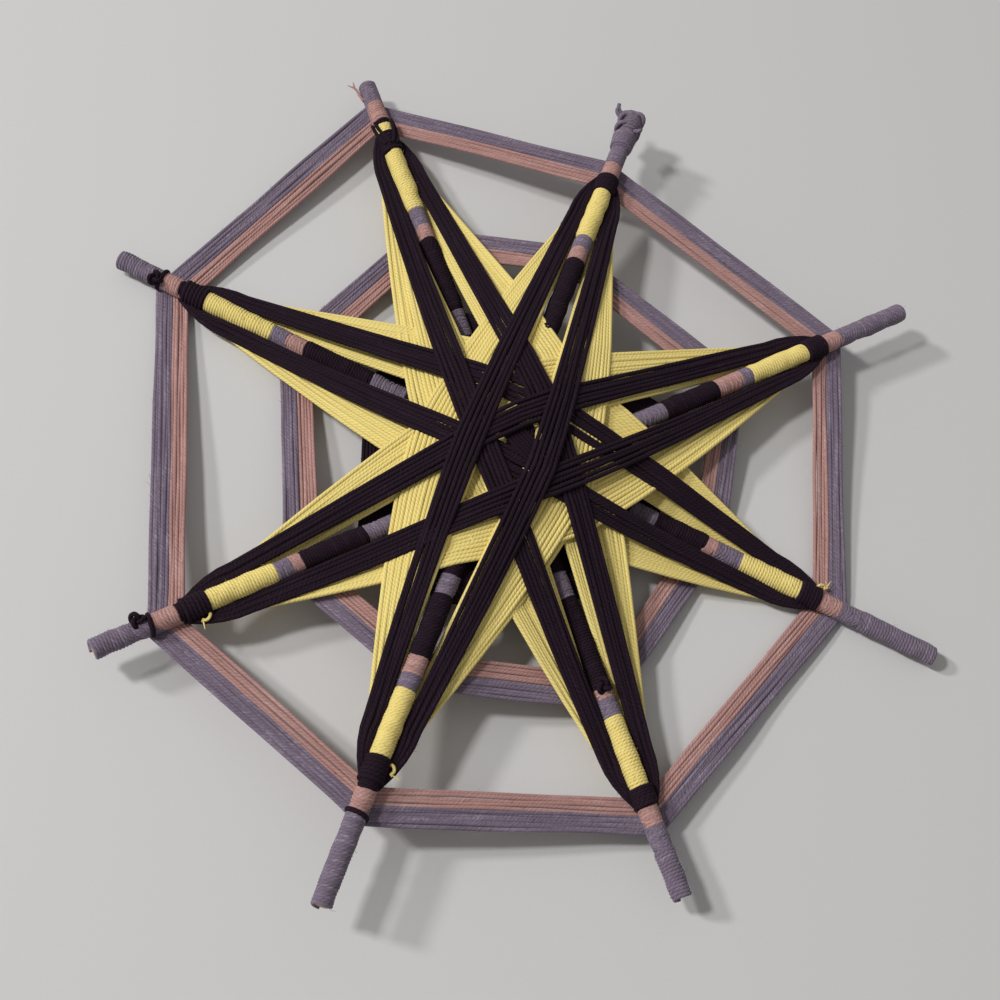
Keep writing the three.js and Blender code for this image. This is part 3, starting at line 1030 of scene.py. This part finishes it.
CENTRE_RING = WebBand(
    "centre_ring_purple",
    PURPLE,
    6,
    band_edge("ring", -RING_DRAW),
    band_edge("ring_end", -RING_DRAW),
    band_edge("ring", -YARN / 2),
    band_edge("ring_end", YARN / 2),
)
WEB_BANDS = (OUTER_PURPLE, OUTER_PINK, INNER_PURPLE, INNER_PINK, CENTRE_RING)


def crossing_middle() -> Vector:
    """The point over which the four sticks cross, taken from all their middles, at no height."""
    total = sum((stick.middle for stick in STICKS), Vector())
    return Vector((total.x, total.y, 0)) / len(STICKS)


WOOD_LAYER = 0
SQUEEZE_SHARE = 0.72  # of two strands' thickness that is left where one is pulled over the other
SAG_SHARE = 0.015  # how far a strand sags between two supports, as a share of their distance


class Pile:
    """The straight pieces of wood and yarn that a new strand has to pass over."""

    def __init__(self) -> None:
        """Starts with the sticks in their wraps."""
        self.starts: list[tuple[float, ...]] = []
        self.ends: list[tuple[float, ...]] = []
        self.thicknesses: list[float] = []
        self.sticks: list[int] = []
        self.stars: list[int] = []
        for stick in STICKS:
            reach = stick.along * ARM_LENGTH
            line = (stick.middle - reach, stick.middle + reach)
            self.add(line, 2 * (STICK_RADIUS + YARN / 2), stick.layer, WOOD_LAYER)

    def add(self, line: Sequence[Vector], thickness: float, stick: int, star: int) -> None:
        """Adds the pieces of a line.

        Args:
            line: The line's points.
            thickness: How thick it is.
            stick: The stick that it belongs to.
            star: The star that it belongs to, or WOOD_LAYER.
        """
        for start, end in zip(line, line[1:]):
            self.starts.append(tuple(start))
            self.ends.append(tuple(end))
            self.thicknesses.append(thickness)
            self.sticks.append(stick)
            self.stars.append(star)

    def bumps(
        self, plan: Sequence[Vector], thickness: float, stick: int, star: int
    ) -> list[tuple[float, float]]:
        """Finds what a strand has to pass over.

        Args:
            plan: The strand's line as seen from the front.
            thickness: The strand's thickness.
            stick: The stick that the strand is wound on.
            star: The star that it belongs to.

        Returns:
            The length run at each crossing and the least height of the strand there.
        """
        starts = np.array(self.starts)
        runs = np.array(self.ends) - starts
        sticks = np.array(self.sticks)
        stars = np.array(self.stars)
        own = (sticks == stick) & ((stars == star) | (stars == WOOD_LAYER))
        squeeze = np.where(stars == WOOD_LAYER, 1.0, SQUEEZE_SHARE)
        press = (np.array(self.thicknesses) + thickness) / 2 * squeeze
        found = []
        travelled = 0.0
        for start, end in zip(plan, plan[1:]):
            run = np.array((end.x - start.x, end.y - start.y))
            length = float(np.hypot(*run))
            turned = run[0] * runs[:, 1] - run[1] * runs[:, 0]
            turned = np.where(turned == 0, np.inf, turned)
            apart = starts[:, :2] - np.array((start.x, start.y))
            share = (apart[:, 0] * runs[:, 1] - apart[:, 1] * runs[:, 0]) / turned
            other = (apart[:, 0] * run[1] - apart[:, 1] * run[0]) / turned
            meets = (share > 0) & (share < 1) & (other > 0) & (other < 1) & ~own
            heights = starts[:, 2] + runs[:, 2] * other + press
            found += list(zip(travelled + share[meets] * length, heights[meets]))
            travelled += length
        return found


def lay_taut(plan: Sequence[Vector], bumps: Sequence[tuple[float, float]]) -> list[Vector]:
    """Pulls a strand straight over everything under it.

    Args:
        plan: The strand's line as seen from the front, its two ends at their own heights.
        bumps: The length run at each crossing and the least height there.

    Returns:
        The strand's points.
    """
    lengths = [math.hypot(end.x - start.x, end.y - start.y) for start, end in zip(plan, plan[1:])]
    runs = np.concatenate(([0.0], np.cumsum(lengths)))
    marks = sorted([(0.0, plan[0].z), *bumps, (float(runs[-1]), plan[-1].z)])
    taut: list[tuple[float, float]] = []
    for mark in marks:
        while len(taut) > 1 and rises_more(taut[-2], taut[-1], mark):
            taut.pop()
        taut.append(mark)
    heights = np.interp(runs, [run for run, _ in taut], [height for _, height in taut])
    for (first, _), (last, _) in zip(taut, taut[1:]):
        part = np.clip((runs - first) / (last - first), 0, 1)
        heights -= 4 * SAG_SHARE * (last - first) * part * (1 - part)
    return [Vector((point.x, point.y, height)) for point, height in zip(plan, heights)]


def rises_more(first: tuple[float, float], middle: tuple[float, float], last: tuple[float, float]) -> bool:
    """Whether the last mark lies above the line through the first two, or on it."""
    run, rise = middle[0] - first[0], middle[1] - first[1]
    return (last[1] - first[1]) * run >= rise * (last[0] - first[0])


@dataclass(frozen=True)
class StarWinding:
    """A star: on each stick one strand wound in long loops round its two arms."""

    node: str
    finish: YarnFinish
    layer: int  # counted from the wood
    thickness: float
    centre_reaches: tuple[float, ...]  # to the nearest strand at the middle, by stick
    centre_end: float  # from the stick's line to the farthest strand at the middle
    centre_pitch: float
    turn_pitch: float  # the most that two loops' turns lie apart on an arm
    marks: tuple[str, str]  # the arm's marks that its turns lie between
    side_reach: float  # from the arm's axis to the nearest strand beside it
    side_pitch: float  # how much farther out each loop passes
    shoulder: float  # from a loop's turn in to where it has that reach
    shoulder_pitch: float
    rise: float  # how high above the arm's axis the strands pass there
    row_rise: float  # every other strand lies this much higher
    leave_degrees: float  # the angle round the arm at which a strand leaves it
    turn_radius: float
    whole_turns: int  # how many times a loop goes right round the arm before it leaves
    fuzzy: bool = True
    tied_arms: tuple[str, ...] = ()  # where the strand's end shows again beyond the pink wraps
    centre_draw_share: float = 0.3  # how far a winding's middle is drawn to the sticks' crossing
    shoulder_share: float = 0.07  # how far the way to a turn bulges outwards
    bulge_power: float = 1.3  # how quickly the strands spread on their way to the middle
    stations: int = 8  # how many points a strand gets on each half of its run
    turn_steps: int = 10  # how many points half a turn gets
    shoulder_steps: int = 4
    unevenness: float = 0.3 * MM
    wave: float = 45 * MM

    def loops(self, stick: Stick) -> int:
        """How many loops a stick's winding has."""
        return round((self.centre_end - self.centre_reaches[stick.layer]) / self.centre_pitch) + 1

    def reach_of(self, arm: Arm, loop: int, loops: int) -> float:
        """The reach at which a loop passes round an arm."""
        inner, outer = (arm.reach(getattr(arm.shares, mark)) for mark in self.marks)
        pitch = min(self.turn_pitch, (outer - inner - self.thickness) / (loops - 1))
        return inner + self.thickness / 2 + pitch * loop

    def turn_about(self, arm: Arm, loop: int, loops: int, way: int) -> list[Vector]:
        """Takes a loop round the arm at the end of its run, from one side to the other.

        Args:
            arm: The arm.
            loop: The loop's number, from the inside out.
            loops: How many there are.
            way: 1 to start on the arm's own side, -1 to start on the other.

        Returns:
            The points of the turn.
        """
        leave = math.radians(self.leave_degrees)
        sweep = -(math.pi + 2 * leave + TURN * self.whole_turns)
        steps = self.turn_steps * (1 + 2 * self.whole_turns)
        points = []
        for step in range(steps + 1):
            angle = leave + sweep * step / steps
            slip = (step / steps - 0.5) * self.thickness * self.whole_turns
            reach = self.reach_of(arm, loop, loops) + slip
            point = arm.around(reach, self.turn_radius, angle)
            if way < 0:
                point -= arm.side * (2 * self.turn_radius * math.cos(angle))
            points.append(point)
        return points

    def shoulder_point(self, arm: Arm, loop: int, loops: int, way: int) -> Vector:
        """Where a loop lies beside the arm, pressed outwards by the loops inside it."""
        turn = self.reach_of(arm, 0 if self.whole_turns else loop, loops)
        rise = self.rise + self.row_rise * (loop % 2)
        reach = turn - self.shoulder - self.shoulder_pitch * loop
        return arm.at(reach, way * (self.side_reach + self.side_pitch * loop), rise)

    def half_plan(self, stick: Stick, arm: Arm, loop: int, way: int) -> list[Vector]:
        """Plans half a leg as seen from the front, from the middle out to its shoulder.

        Args:
            stick: The stick.
            arm: The arm that the half leg runs to.
            loop: The loop's number.
            way: 1 on the arm's own side, -1 on the other.

        Returns:
            The points from the middle out, all at the shoulder's height.
        """
        end = self.shoulder_point(arm, loop, self.loops(stick), way)
        reach = (end - arm.middle).dot(arm.out)
        side = self.side_reach + self.side_pitch * loop
        spread = self.centre_reaches[stick.layer] + self.centre_pitch * loop
        draw = (crossing_middle() - arm.middle).project(arm.side) * self.centre_draw_share
        points = []
        for station in range(self.stations):
            share = station / self.stations
            aside = spread - (spread - side) * share**self.bulge_power
            point = arm.at(reach * share, way * aside, 0) + draw * (1 - share)
            point.z = end.z
            points.append(point)
        return [*points, end]

    def round_shoulder(self, start: Vector, end: Vector, arm: Arm, way: int) -> list[Vector]:
        """Rounds a strand's way from beside the arm to its turn on it.

        Args:
            start: The last point of the leg.
            end: The first point of the turn.
            arm: The arm.
            way: The side of the arm that it lies on.

        Returns:
            The points between the two.
        """
        points = []
        for step in range(1, self.shoulder_steps):
            share = step / self.shoulder_steps
            bulge = arm.side * way * (end - start).length * self.shoulder_share
            points.append(start.lerp(end, share) + bulge * (4 * share * (1 - share)))
        return points

    def leg(self, stick: Stick, near: Arm, far: Arm, loop: int, pile: Pile) -> list[Vector]:
        """Runs a strand over the middle from one arm to the other, on the near arm's own side.

        Args:
            stick: The stick of both arms.
            near: The arm that it leaves.
            far: The arm that it meets.
            loop: The loop's number.
            pile: What the strand has to pass over; the strand is added to it.

        Returns:
            The points between the two turns.
        """
        inwards = self.half_plan(stick, near, loop, 1)[:0:-1]
        outwards = self.half_plan(stick, far, loop, -1)
        plan = inwards + outwards
        bumps = pile.bumps(plan, self.thickness, stick.layer, self.layer)
        line = lay_taut(plan, bumps)
        pile.add(line, self.thickness, stick.layer, self.layer)
        seed = loop + stick.layer * self.centre_end / self.centre_pitch + self.layer / 3
        return [wander(point, seed, self.unevenness, self.wave) for point in line]

    def path(self, stick: Stick, arms: dict[str, Arm], pile: Pile) -> list[Vector]:
        """Winds the whole strand of one stick.

        Args:
            stick: The stick.
            arms: All the arms.
            pile: What the strand has to pass over.

        Returns:
            The strand's middle line.
        """
        near, far = arms[stick.second], arms[stick.first]
        loops = self.loops(stick)
        points = self.turn_about(near, 0, loops, -1)
        for loop in range(loops):
            for start, end, following in ((near, far, loop), (far, near, loop + 1)):
                leg = self.leg(stick, start, end, loop, pile)
                turn = self.turn_about(end, min(following, loops - 1), loops, -1)
                points += self.round_shoulder(points[-1], leg[0], start, 1)
                points += leg
                points += self.round_shoulder(leg[-1], turn[0], end, -1)
                points += turn
        if near.name in self.tied_arms:
            points += self.tie(near)
        return points

    def tie(self, arm: Arm) -> list[Vector]:
        """Takes the strand's end out behind the pink wraps and ties it off beyond them."""
        start, end = arm.reach(arm.shares.pink), arm.reach(arm.shares.web)
        points = [arm.around(reach, OVER_RADIUS, BACK) for reach in (start, end)]
        count = self.turn_steps * 2
        for step in range(1, count + 1):
            share = step / count
            points.append(arm.around(end + self.thickness * share, OVER_RADIUS, BACK - TURN * share))
        return points

    def build(self, arms: dict[str, Arm], pile: Pile, dresser: Dresser) -> None:
        """Makes the star's four windings.

        Args:
            arms: The arms.
            pile: What the strands have to pass over.
            dresser: Finishes each winding.
        """
        for stick in STICKS:
            node = f"{self.node}_{stick.first}_{stick.second}"
            yarn = YarnPiece(f"{node}_yarn", fuzzy=self.fuzzy)
            yarn.add_strand(self.path(stick, arms, pile), self.thickness)
            dresser.dress_yarn(yarn, self.finish, [node])


YELLOW_STAR = StarWinding(
    node="yellow_star",
    finish=YELLOW,
    layer=1,
    thickness=1.55 * MM,
    centre_reaches=(4.6 * MM,) * 2 + (7.6 * MM,) * 2,
    centre_end=30.5 * MM,
    centre_pitch=1.5 * MM,
    turn_pitch=2 * MM,
    marks=("yellow", "collar"),
    side_reach=3.6 * MM,
    side_pitch=0.1 * MM,
    shoulder=3.5 * MM,
    shoulder_pitch=0.0,
    rise=-2.6 * MM,
    row_rise=0.3 * MM,
    leave_degrees=-35,
    turn_radius=3.4 * MM,
    whole_turns=0,
    fuzzy=False,
)
DARK_STAR = StarWinding(
    node="dark_star",
    finish=DARK,
    layer=2,
    thickness=1.55 * MM,
    centre_reaches=(8.3 * MM,) * len(STICKS),
    centre_end=16.3 * MM,
    centre_pitch=1.6 * MM,
    turn_pitch=1.3 * MM,
    marks=("collar", "pink"),
    side_reach=3.7 * MM,
    side_pitch=0.92 * MM,
    shoulder=10 * MM,
    shoulder_pitch=0.4 * MM,
    rise=-0.8 * MM,
    row_rise=0.35 * MM,
    leave_degrees=-15,
    turn_radius=3.35 * MM,
    whole_turns=1,
    tied_arms=("A6", "A7", "A8"),
    unevenness=0.5 * MM,
)


@dataclass
class WovenCentre:
    """Dark yarn wound over the crossing, out along each arm and from arm to arm round it."""

    reach: float = 7.6 * MM
    pitch: float = 1.2 * MM
    loops: int = 6
    corner_steps: int = 5
    corner: float = 3 * MM
    clearance: float = 1.4 * MM
    web_start: float = 26 * MM
    web_over: float = 0.5 * MM  # how far outside the purple ring's mark the dark web reaches
    web_pitch: float = 0.9 * MM
    web_radius: float = 3.5 * MM  # from an arm's axis to the strands behind it
    web_degrees: float = 70  # how far round the arm's back they touch it, to each side
    web_points: int = 5
    web_seed: float = 0.5
    web_unevenness: float = YARN / 3
    web_wave: float = 9 * YARN
    notches: int = 4  # the directions between the sticks

    def loop(self, turn: float, sideways: float, low: float, high: float) -> list[Vector]:
        """Makes one upright loop over the crossing.

        Args:
            turn: The direction from notch to notch, in radians.
            sideways: How far the loop lies beside the middle.
            low: The height of its back run.
            high: The height of its front run.

        Returns:
            The loop's middle line.
        """
        out = Vector((math.cos(turn), math.sin(turn), 0))
        side = Vector((-out.y, out.x, 0))
        middle = crossing_middle()
        corners = ((1, high, 0), (-1, high, 1), (-1, low, 2), (1, low, 3))
        points = []
        for way, height, quarter in corners:
            inward = 1 if height == low else -1
            hub = middle + out * (way * (self.reach - self.corner)) + side * sideways
            hub.z = height + inward * self.corner
            for step in range(self.corner_steps + 1):
                angle = (quarter + step / self.corner_steps) * math.pi / 2
                bend = out * math.cos(angle) + Vector((0, 0, math.sin(angle)))
                points.append(hub + bend * self.corner)
        return points + points[:1]

    def web_path(self, arms: dict[str, Arm]) -> list[Vector]:
        """Winds the dark web, which passes behind every arm.

        Args:
            arms: The arms, in the order that the strand meets them.

        Returns:
            The strand's middle line.
        """
        ends = {name: arm.reach(arm.shares.ring) + self.web_over for name, arm in arms.items()}
        rounds = round((min(ends.values()) - self.web_start) / self.web_pitch)
        total = rounds * len(arms)
        points: list[Vector] = []
        for step in range(total + 1):
            arm = arms[ARM_ORDER[step % len(arms)]]
            reach = self.web_start + (ends[arm.name] - self.web_start) * step / total
            for number in range(self.web_points):
                angle = BACK + math.radians(self.web_degrees) * (1 - 2 * number / (self.web_points - 1))
                point = arm.around(reach, self.web_radius, angle)
                points.append(wander(point, self.web_seed, self.web_unevenness, self.web_wave))
        return points

    def build(self, arms: dict[str, Arm], dresser: Dresser) -> None:
        """Makes the woven centre.

        Args:
            arms: The arms.
            dresser: Finishes it.
        """
        yarn = YarnPiece("woven_centre_yarn")
        levels = [stick.middle.z for stick in STICKS]
        stand_off = STICK_RADIUS + self.clearance
        between = math.pi / self.notches
        for notch in range(self.notches):
            turn = math.radians(STICKS[0].turn_degrees) + between / 2 + notch * between
            rise = notch * YARN / 2
            low = min(levels) - stand_off + rise / 3
            high = max(levels) + stand_off + rise
            for number in range(self.loops):
                sideways = (number - (self.loops - 1) / 2) * self.pitch
                yarn.add_strand(self.loop(turn, sideways, low, high), YARN)
        for index, arm in enumerate(arms.values()):
            wrap = Wrap(self.reach, arm.reach(arm.shares.ring_end), WRAP_RADIUS, WRAP_RADIUS, index)
            yarn.add_strand(wrap.path(arm), YARN)
        yarn.add_strand(self.web_path(arms), YARN)
        dresser.dress_yarn(yarn, DARK, ["woven_centre"])


def smooth_line(bends: Sequence[Vector], steps: int) -> list[Vector]:
    """Rounds a line through its bends.

    Args:
        bends: The points that it passes through.
        steps: How many points it gets between two bends.

    Returns:
        The rounded line.
    """
    ends = [bends[0] * 2 - bends[1], *bends, bends[-1] * 2 - bends[-2]]
    points = []
    for before, start, end, after in zip(ends, ends[1:], ends[2:], ends[3:]):
        for step in range(steps):
            part = step / steps
            pull = (end - before) * part + (before * 2 - start * 5 + end * 4 - after) * part**2
            points.append(start + (pull + (start * 3 - before - end * 3 + after) * part**3) / 2)
    points.append(bends[-1])
    return points


@dataclass(frozen=True)
class LooseEnd:
    """A short tail of yarn that leaves an arm, or the knot that holds it."""

    node: str
    arm: str
    finish: YarnFinish
    reach: float
    length: float
    bend_shares: BendShares
    fray: int = 0  # how many thin ends the tail opens into
    thickness_share: float = 0.9
    tip_share: float = 0.7
    fray_thickness_share: float = 1 / 1.8
    fray_tip_share: float = 0.4
    bend_steps: int = 5
    fray_steps: int = 4

    def build(self, arms: dict[str, Arm], dresser: Dresser) -> None:
        """Makes the tail.

        Args:
            arms: The arms.
            dresser: Finishes it.
        """
        arm = arms[self.arm]
        bends = arm.bends(arm.at(self.reach, OVER_RADIUS, 0), self.bend_shares, self.length)
        yarn = YarnPiece(f"{self.node}_yarn")
        line = smooth_line(bends, self.bend_steps)
        yarn.add_strand(line, YARN * self.thickness_share, self.tip_share)
        run = (line[-1] - line[-3]).normalized()
        for number in range(self.fray):
            angle = TURN * number / self.fray
            spread = arm.side * math.cos(angle) + Vector((0, 0, math.sin(angle)))
            opening = [line[-2], line[-1] + spread * (YARN / 3), line[-1] + run * YARN + spread * YARN]
            fibre = smooth_line(opening, self.fray_steps)
            yarn.add_strand(fibre, YARN * self.fray_thickness_share, self.fray_tip_share)
        dresser.dress_yarn(yarn, self.finish, [self.node])


HOOK_SHARES = (
    (0, 0, 0),
    (-0.1, 0.2, 0.1),
    (0.05, 0.42, 0.14),
    (0.3, 0.48, 0.06),
    (0.42, 0.34, 0),
    (0.5, 0.5, 0.04),
)
SIDE_SHARES = ((0, 0, 0), (0.25, 0.12, 0.1), (0.6, 0.2, 0.16), (0.85, 0.32, 0.2))
STUB_SHARES = ((0, 0, 0), (0.1, 0.4, 0.1), (0.35, 0.65, 0.15), (0.6, 0.7, 0.2))
TAIL = 4.8 * MM
TAIL_REACHES = {"A4": 107 * MM, "A6": 106 * MM, "A7": 115 * MM}
TAIL_ENDS = 2  # how many thin ends a yellow tail opens into
PINK_TAIL_SHARE = 1.4  # its length against the yellow ones
PINK_TAIL_INSET = 3 * MM  # from the arm's end
PINK_TAIL_ENDS = 3


def loose_ends() -> list[LooseEnd]:
    """Lists the tails that the photograph shows."""
    ends = [
        LooseEnd(f"yellow_tail_{name}", name, YELLOW, reach, TAIL, HOOK_SHARES, TAIL_ENDS)
        for name, reach in TAIL_REACHES.items()
    ]
    reach, length = ARM_LENGTH - PINK_TAIL_INSET, TAIL * PINK_TAIL_SHARE
    ends.append(LooseEnd("pink_tail_A1", "A1", PINK, reach, length, SIDE_SHARES, PINK_TAIL_ENDS))
    return ends


@dataclass(frozen=True)
class DarkKnot:
    """A small overhand knot of dark yarn that sits on an arm."""

    arm: str
    reach_share: float
    aside: float = 0.0
    radius: float = 1.5 * MM
    steps: int = 36
    squash_share: float = 0.7  # its height against its width
    thickness_share: float = 1.15

    def build(self, arms: dict[str, Arm], dresser: Dresser) -> None:
        """Makes the knot.

        Args:
            arms: The arms.
            dresser: Finishes it.
        """
        arm = arms[self.arm]
        hub = arm.at(self.reach_share * ARM_LENGTH, self.aside, WRAP_RADIUS + YARN - abs(self.aside) / 2)
        points = []
        for step in range(self.steps + 1):
            angle = TURN * step / self.steps
            across = (math.sin(angle) + 2 * math.sin(2 * angle)) / 2
            along = (math.cos(angle) - 2 * math.cos(2 * angle)) / 2
            lift = Vector((0, 0, -math.sin(3 * angle) * self.radius * self.squash_share))
            points.append(hub + arm.side * across * self.radius + arm.out * along * self.radius + lift)
        yarn = YarnPiece(f"dark_knot_{self.arm}_yarn")
        yarn.add_strand(points, YARN * self.thickness_share)
        dresser.dress_yarn(yarn, DARK, [f"dark_knot_{self.arm}"])


KNOT_ASIDE = 2 * MM
DARK_KNOTS = (DarkKnot("A5", 0.555), DarkKnot("A7", 0.9, -KNOT_ASIDE), DarkKnot("A8", 0.905, KNOT_ASIDE))


@dataclass(frozen=True)
class TipKnot:
    """The purple yarn knotted round the end of one arm, with its tail."""

    arm: str = "A2"
    length: float = 9 * MM
    swell: float = 0.7 * MM
    turns: int = 8
    girth: float = 4.2 * MM  # from the arm's axis to the loose turns of the knot
    tail: float = 6 * MM
    layer_seeds: tuple[float, float] = (1.3, 2.7)
    unevenness: float = YARN / 2
    wave: float = 3 * YARN
    tangle_steps: int = 90
    tangle_waves: tuple[int, int, int] = (3, 4, 5)  # along the arm, aside and up
    tangle_lead: float = 0.6  # in radians, so that the tangle never repeats itself
    tangle_shares: tuple[float, float] = (0.42, 0.85)  # of the knot's length and of its girth
    tangle_thickness_share: float = 1.2
    stub_ways: tuple[float, float] = (1, 0.8)  # how far each stub points outwards
    stub_parts: tuple[int, int] = (3, 6)  # each starts this part of the length outside the middle
    stub_steps: int = 5
    stub_thickness_share: float = 1.3
    stub_tip_share: float = 0.8

    def build(self, arms: dict[str, Arm], dresser: Dresser) -> None:
        """Makes the knot.

        Args:
            arms: The arms.
            dresser: Finishes it.
        """
        arm = arms[self.arm]
        steps = Wrap.steps
        inner = ARM_LENGTH - self.length
        yarn = YarnPiece(f"purple_knot_{self.arm}_yarn")
        for layer, seed in enumerate(self.layer_seeds):
            points = []
            for step in range(self.turns * steps + 1):
                share = step / (self.turns * steps)
                radius = WRAP_RADIUS + self.swell * math.sin(math.pi * share) * (1 + layer)
                way = 1 if layer else -1
                angle = BACK + way * TURN * step / steps
                point = arm.around(inner + self.length * share, radius, angle)
                points.append(wander(point, seed, self.unevenness, self.wave))
            yarn.add_strand(points, YARN)
        middle = inner + self.length / 2
        along_waves, side_waves, up_waves = self.tangle_waves
        along_share, up_share = self.tangle_shares
        tangle = []
        for step in range(self.tangle_steps + 1):
            angle = TURN * step / self.tangle_steps
            along = math.sin(along_waves * angle + self.tangle_lead) * self.length * along_share
            aside = math.sin(side_waves * angle) * self.girth
            tangle.append(arm.at(middle + along, aside, math.cos(up_waves * angle) * self.girth * up_share))
        yarn.add_strand(tangle, YARN * self.tangle_thickness_share)
        for way, part in zip(self.stub_ways, self.stub_parts):
            root = arm.at(middle + self.length / part, self.girth / 2, 0)
            stub = smooth_line(arm.bends(root, STUB_SHARES, self.tail, way), self.stub_steps)
            yarn.add_strand(stub, YARN * self.stub_thickness_share, self.stub_tip_share)
        dresser.dress_yarn(yarn, PURPLE, [f"purple_knot_{self.arm}"])


@dataclass
class Studio:
    """The pale floor, the soft lights and the camera at the photograph's angle."""

    floor_size: float = 12.0
    floor_colour: Colour = (205, 203, 202)
    floor_grain: float = 1.2 * MM
    floor_dip_share: float = 0.97  # the brightness between its grains
    sky_share: float = 0.31
    lamp_direction: tuple[float, float, float] = (-0.8, 0.1, 1.0)
    lamp_share: float = 0.39
    lamp_distance: float = 1.6
    lamp_size: float = 0.17
    far_direction: tuple[float, float, float] = (-1.35, 0.4, 1.0)
    far_share: float = 0.22
    camera_place: tuple[float, float, float] = (-0.08589, -0.22209, 0.46288)
    camera_forward: tuple[float, float, float] = (0.15264, 0.40918, -0.89959)
    camera_upward: tuple[float, float, float] = (-0.05035, 0.9123, 0.40642)
    camera_lens: float = 56.18
    camera_sensor: float = 36.0

    def build(self) -> None:
        """Makes the whole studio."""
        self.build_floor()
        self.build_sky()
        self.build_lamp()
        self.build_far_light()
        self.build_camera()

    def build_floor(self) -> None:
        """Lays the plain pale surface under the star."""
        bpy.ops.object.select_all(action="DESELECT")
        bpy.ops.mesh.primitive_plane_add(size=self.floor_size, location=(0, 0, 0))
        floor = bpy.context.object
        floor.name = "pale_surface"
        net = MaterialNet("pale_surface")
        place = net.node("ShaderNodeTexCoord", {}, {}).outputs["Object"]
        grain = net.noise(place, 1 / self.floor_grain, 2)
        low = tuple(value * self.floor_dip_share for value in shade(self.floor_colour)[:3]) + (1.0,)
        inputs = {
            "Base Color": net.mix(grain, low, shade(self.floor_colour)),
            "Roughness": 0.8,
            "Specular IOR Level": 0.2,
        }
        net.feed(net.surface, inputs)
        floor.data.materials.append(net.material)

    def build_sky(self) -> None:
        """Lights the scene evenly from all round."""
        world = bpy.data.worlds.new("plain_sky")
        world.use_nodes = True
        world.node_tree.nodes["Background"].inputs["Color"].default_value = (1.0, 1.0, 1.0, 1.0)
        world.node_tree.nodes["Background"].inputs["Strength"].default_value = self.sky_share
        bpy.context.scene.world = world

    def build_lamp(self) -> None:
        """Hangs a soft square lamp, which lights the near side of the floor a little more."""
        direction = Vector(self.lamp_direction).normalized()
        data = bpy.data.lights.new("soft_lamp", "AREA")
        data.size = self.lamp_size
        data.energy = self.lamp_share * math.pi**2 * self.lamp_distance**2 / direction.z
        self.hang(data, direction)

    def build_far_light(self) -> None:
        """Adds a lower, far light of the same softness, which lights the floor evenly."""
        direction = Vector(self.far_direction).normalized()
        data = bpy.data.lights.new("far_light", "SUN")
        data.angle = self.lamp_size / self.lamp_distance
        data.energy = self.far_share * math.pi / direction.z
        self.hang(data, direction)

    def hang(self, data: bpy.types.Light, direction: Vector) -> None:
        """Places a light so that it shines at the star.

        Args:
            data: The light.
            direction: From the star to the light.
        """
        light = bpy.data.objects.new(data.name, data)
        light.location = direction * self.lamp_distance
        light.rotation_euler = direction.to_track_quat("Z", "Y").to_euler()
        bpy.context.scene.collection.objects.link(light)

    def build_camera(self) -> None:
        """Places the camera where the photograph was taken from."""
        data = bpy.data.cameras.new("photograph_view")
        data.sensor_width = self.camera_sensor
        data.lens = self.camera_lens
        camera = bpy.data.objects.new("photograph_view", data)
        back = -Vector(self.camera_forward).normalized()
        right = Vector(self.camera_upward).cross(back).normalized()
        upward = back.cross(right)
        matrix = camera.matrix_world.copy()
        for column, direction in enumerate((right, upward, back, Vector(self.camera_place))):
            for row in range(3):
                matrix[row][column] = direction[row]
        camera.matrix_world = matrix
        bpy.context.scene.collection.objects.link(camera)
        bpy.context.scene.camera = camera


def main() -> None:
    """Builds the ojo de dios and the studio round it."""
    logging.basicConfig(level=logging.INFO, format="%(name)s %(message)s")
    noise.seed_set(WANDER_SEED)
    bpy.context.scene.view_settings.view_transform = "Standard"
    arms = make_arms()
    dresser = Dresser()
    StickSet().build(dresser)
    ArmWraps().build(arms, dresser)
    for band in WEB_BANDS:
        band.build(arms, dresser)
    WovenCentre().build(arms, dresser)
    pile = Pile()
    for star in (YELLOW_STAR, DARK_STAR):
        star.build(arms, pile, dresser)
    for end in loose_ends():
        end.build(arms, dresser)
    for knot in DARK_KNOTS:
        knot.build(arms, dresser)
    TipKnot().build(arms, dresser)
    Studio().build()


if __name__ == "__main__":
    main()
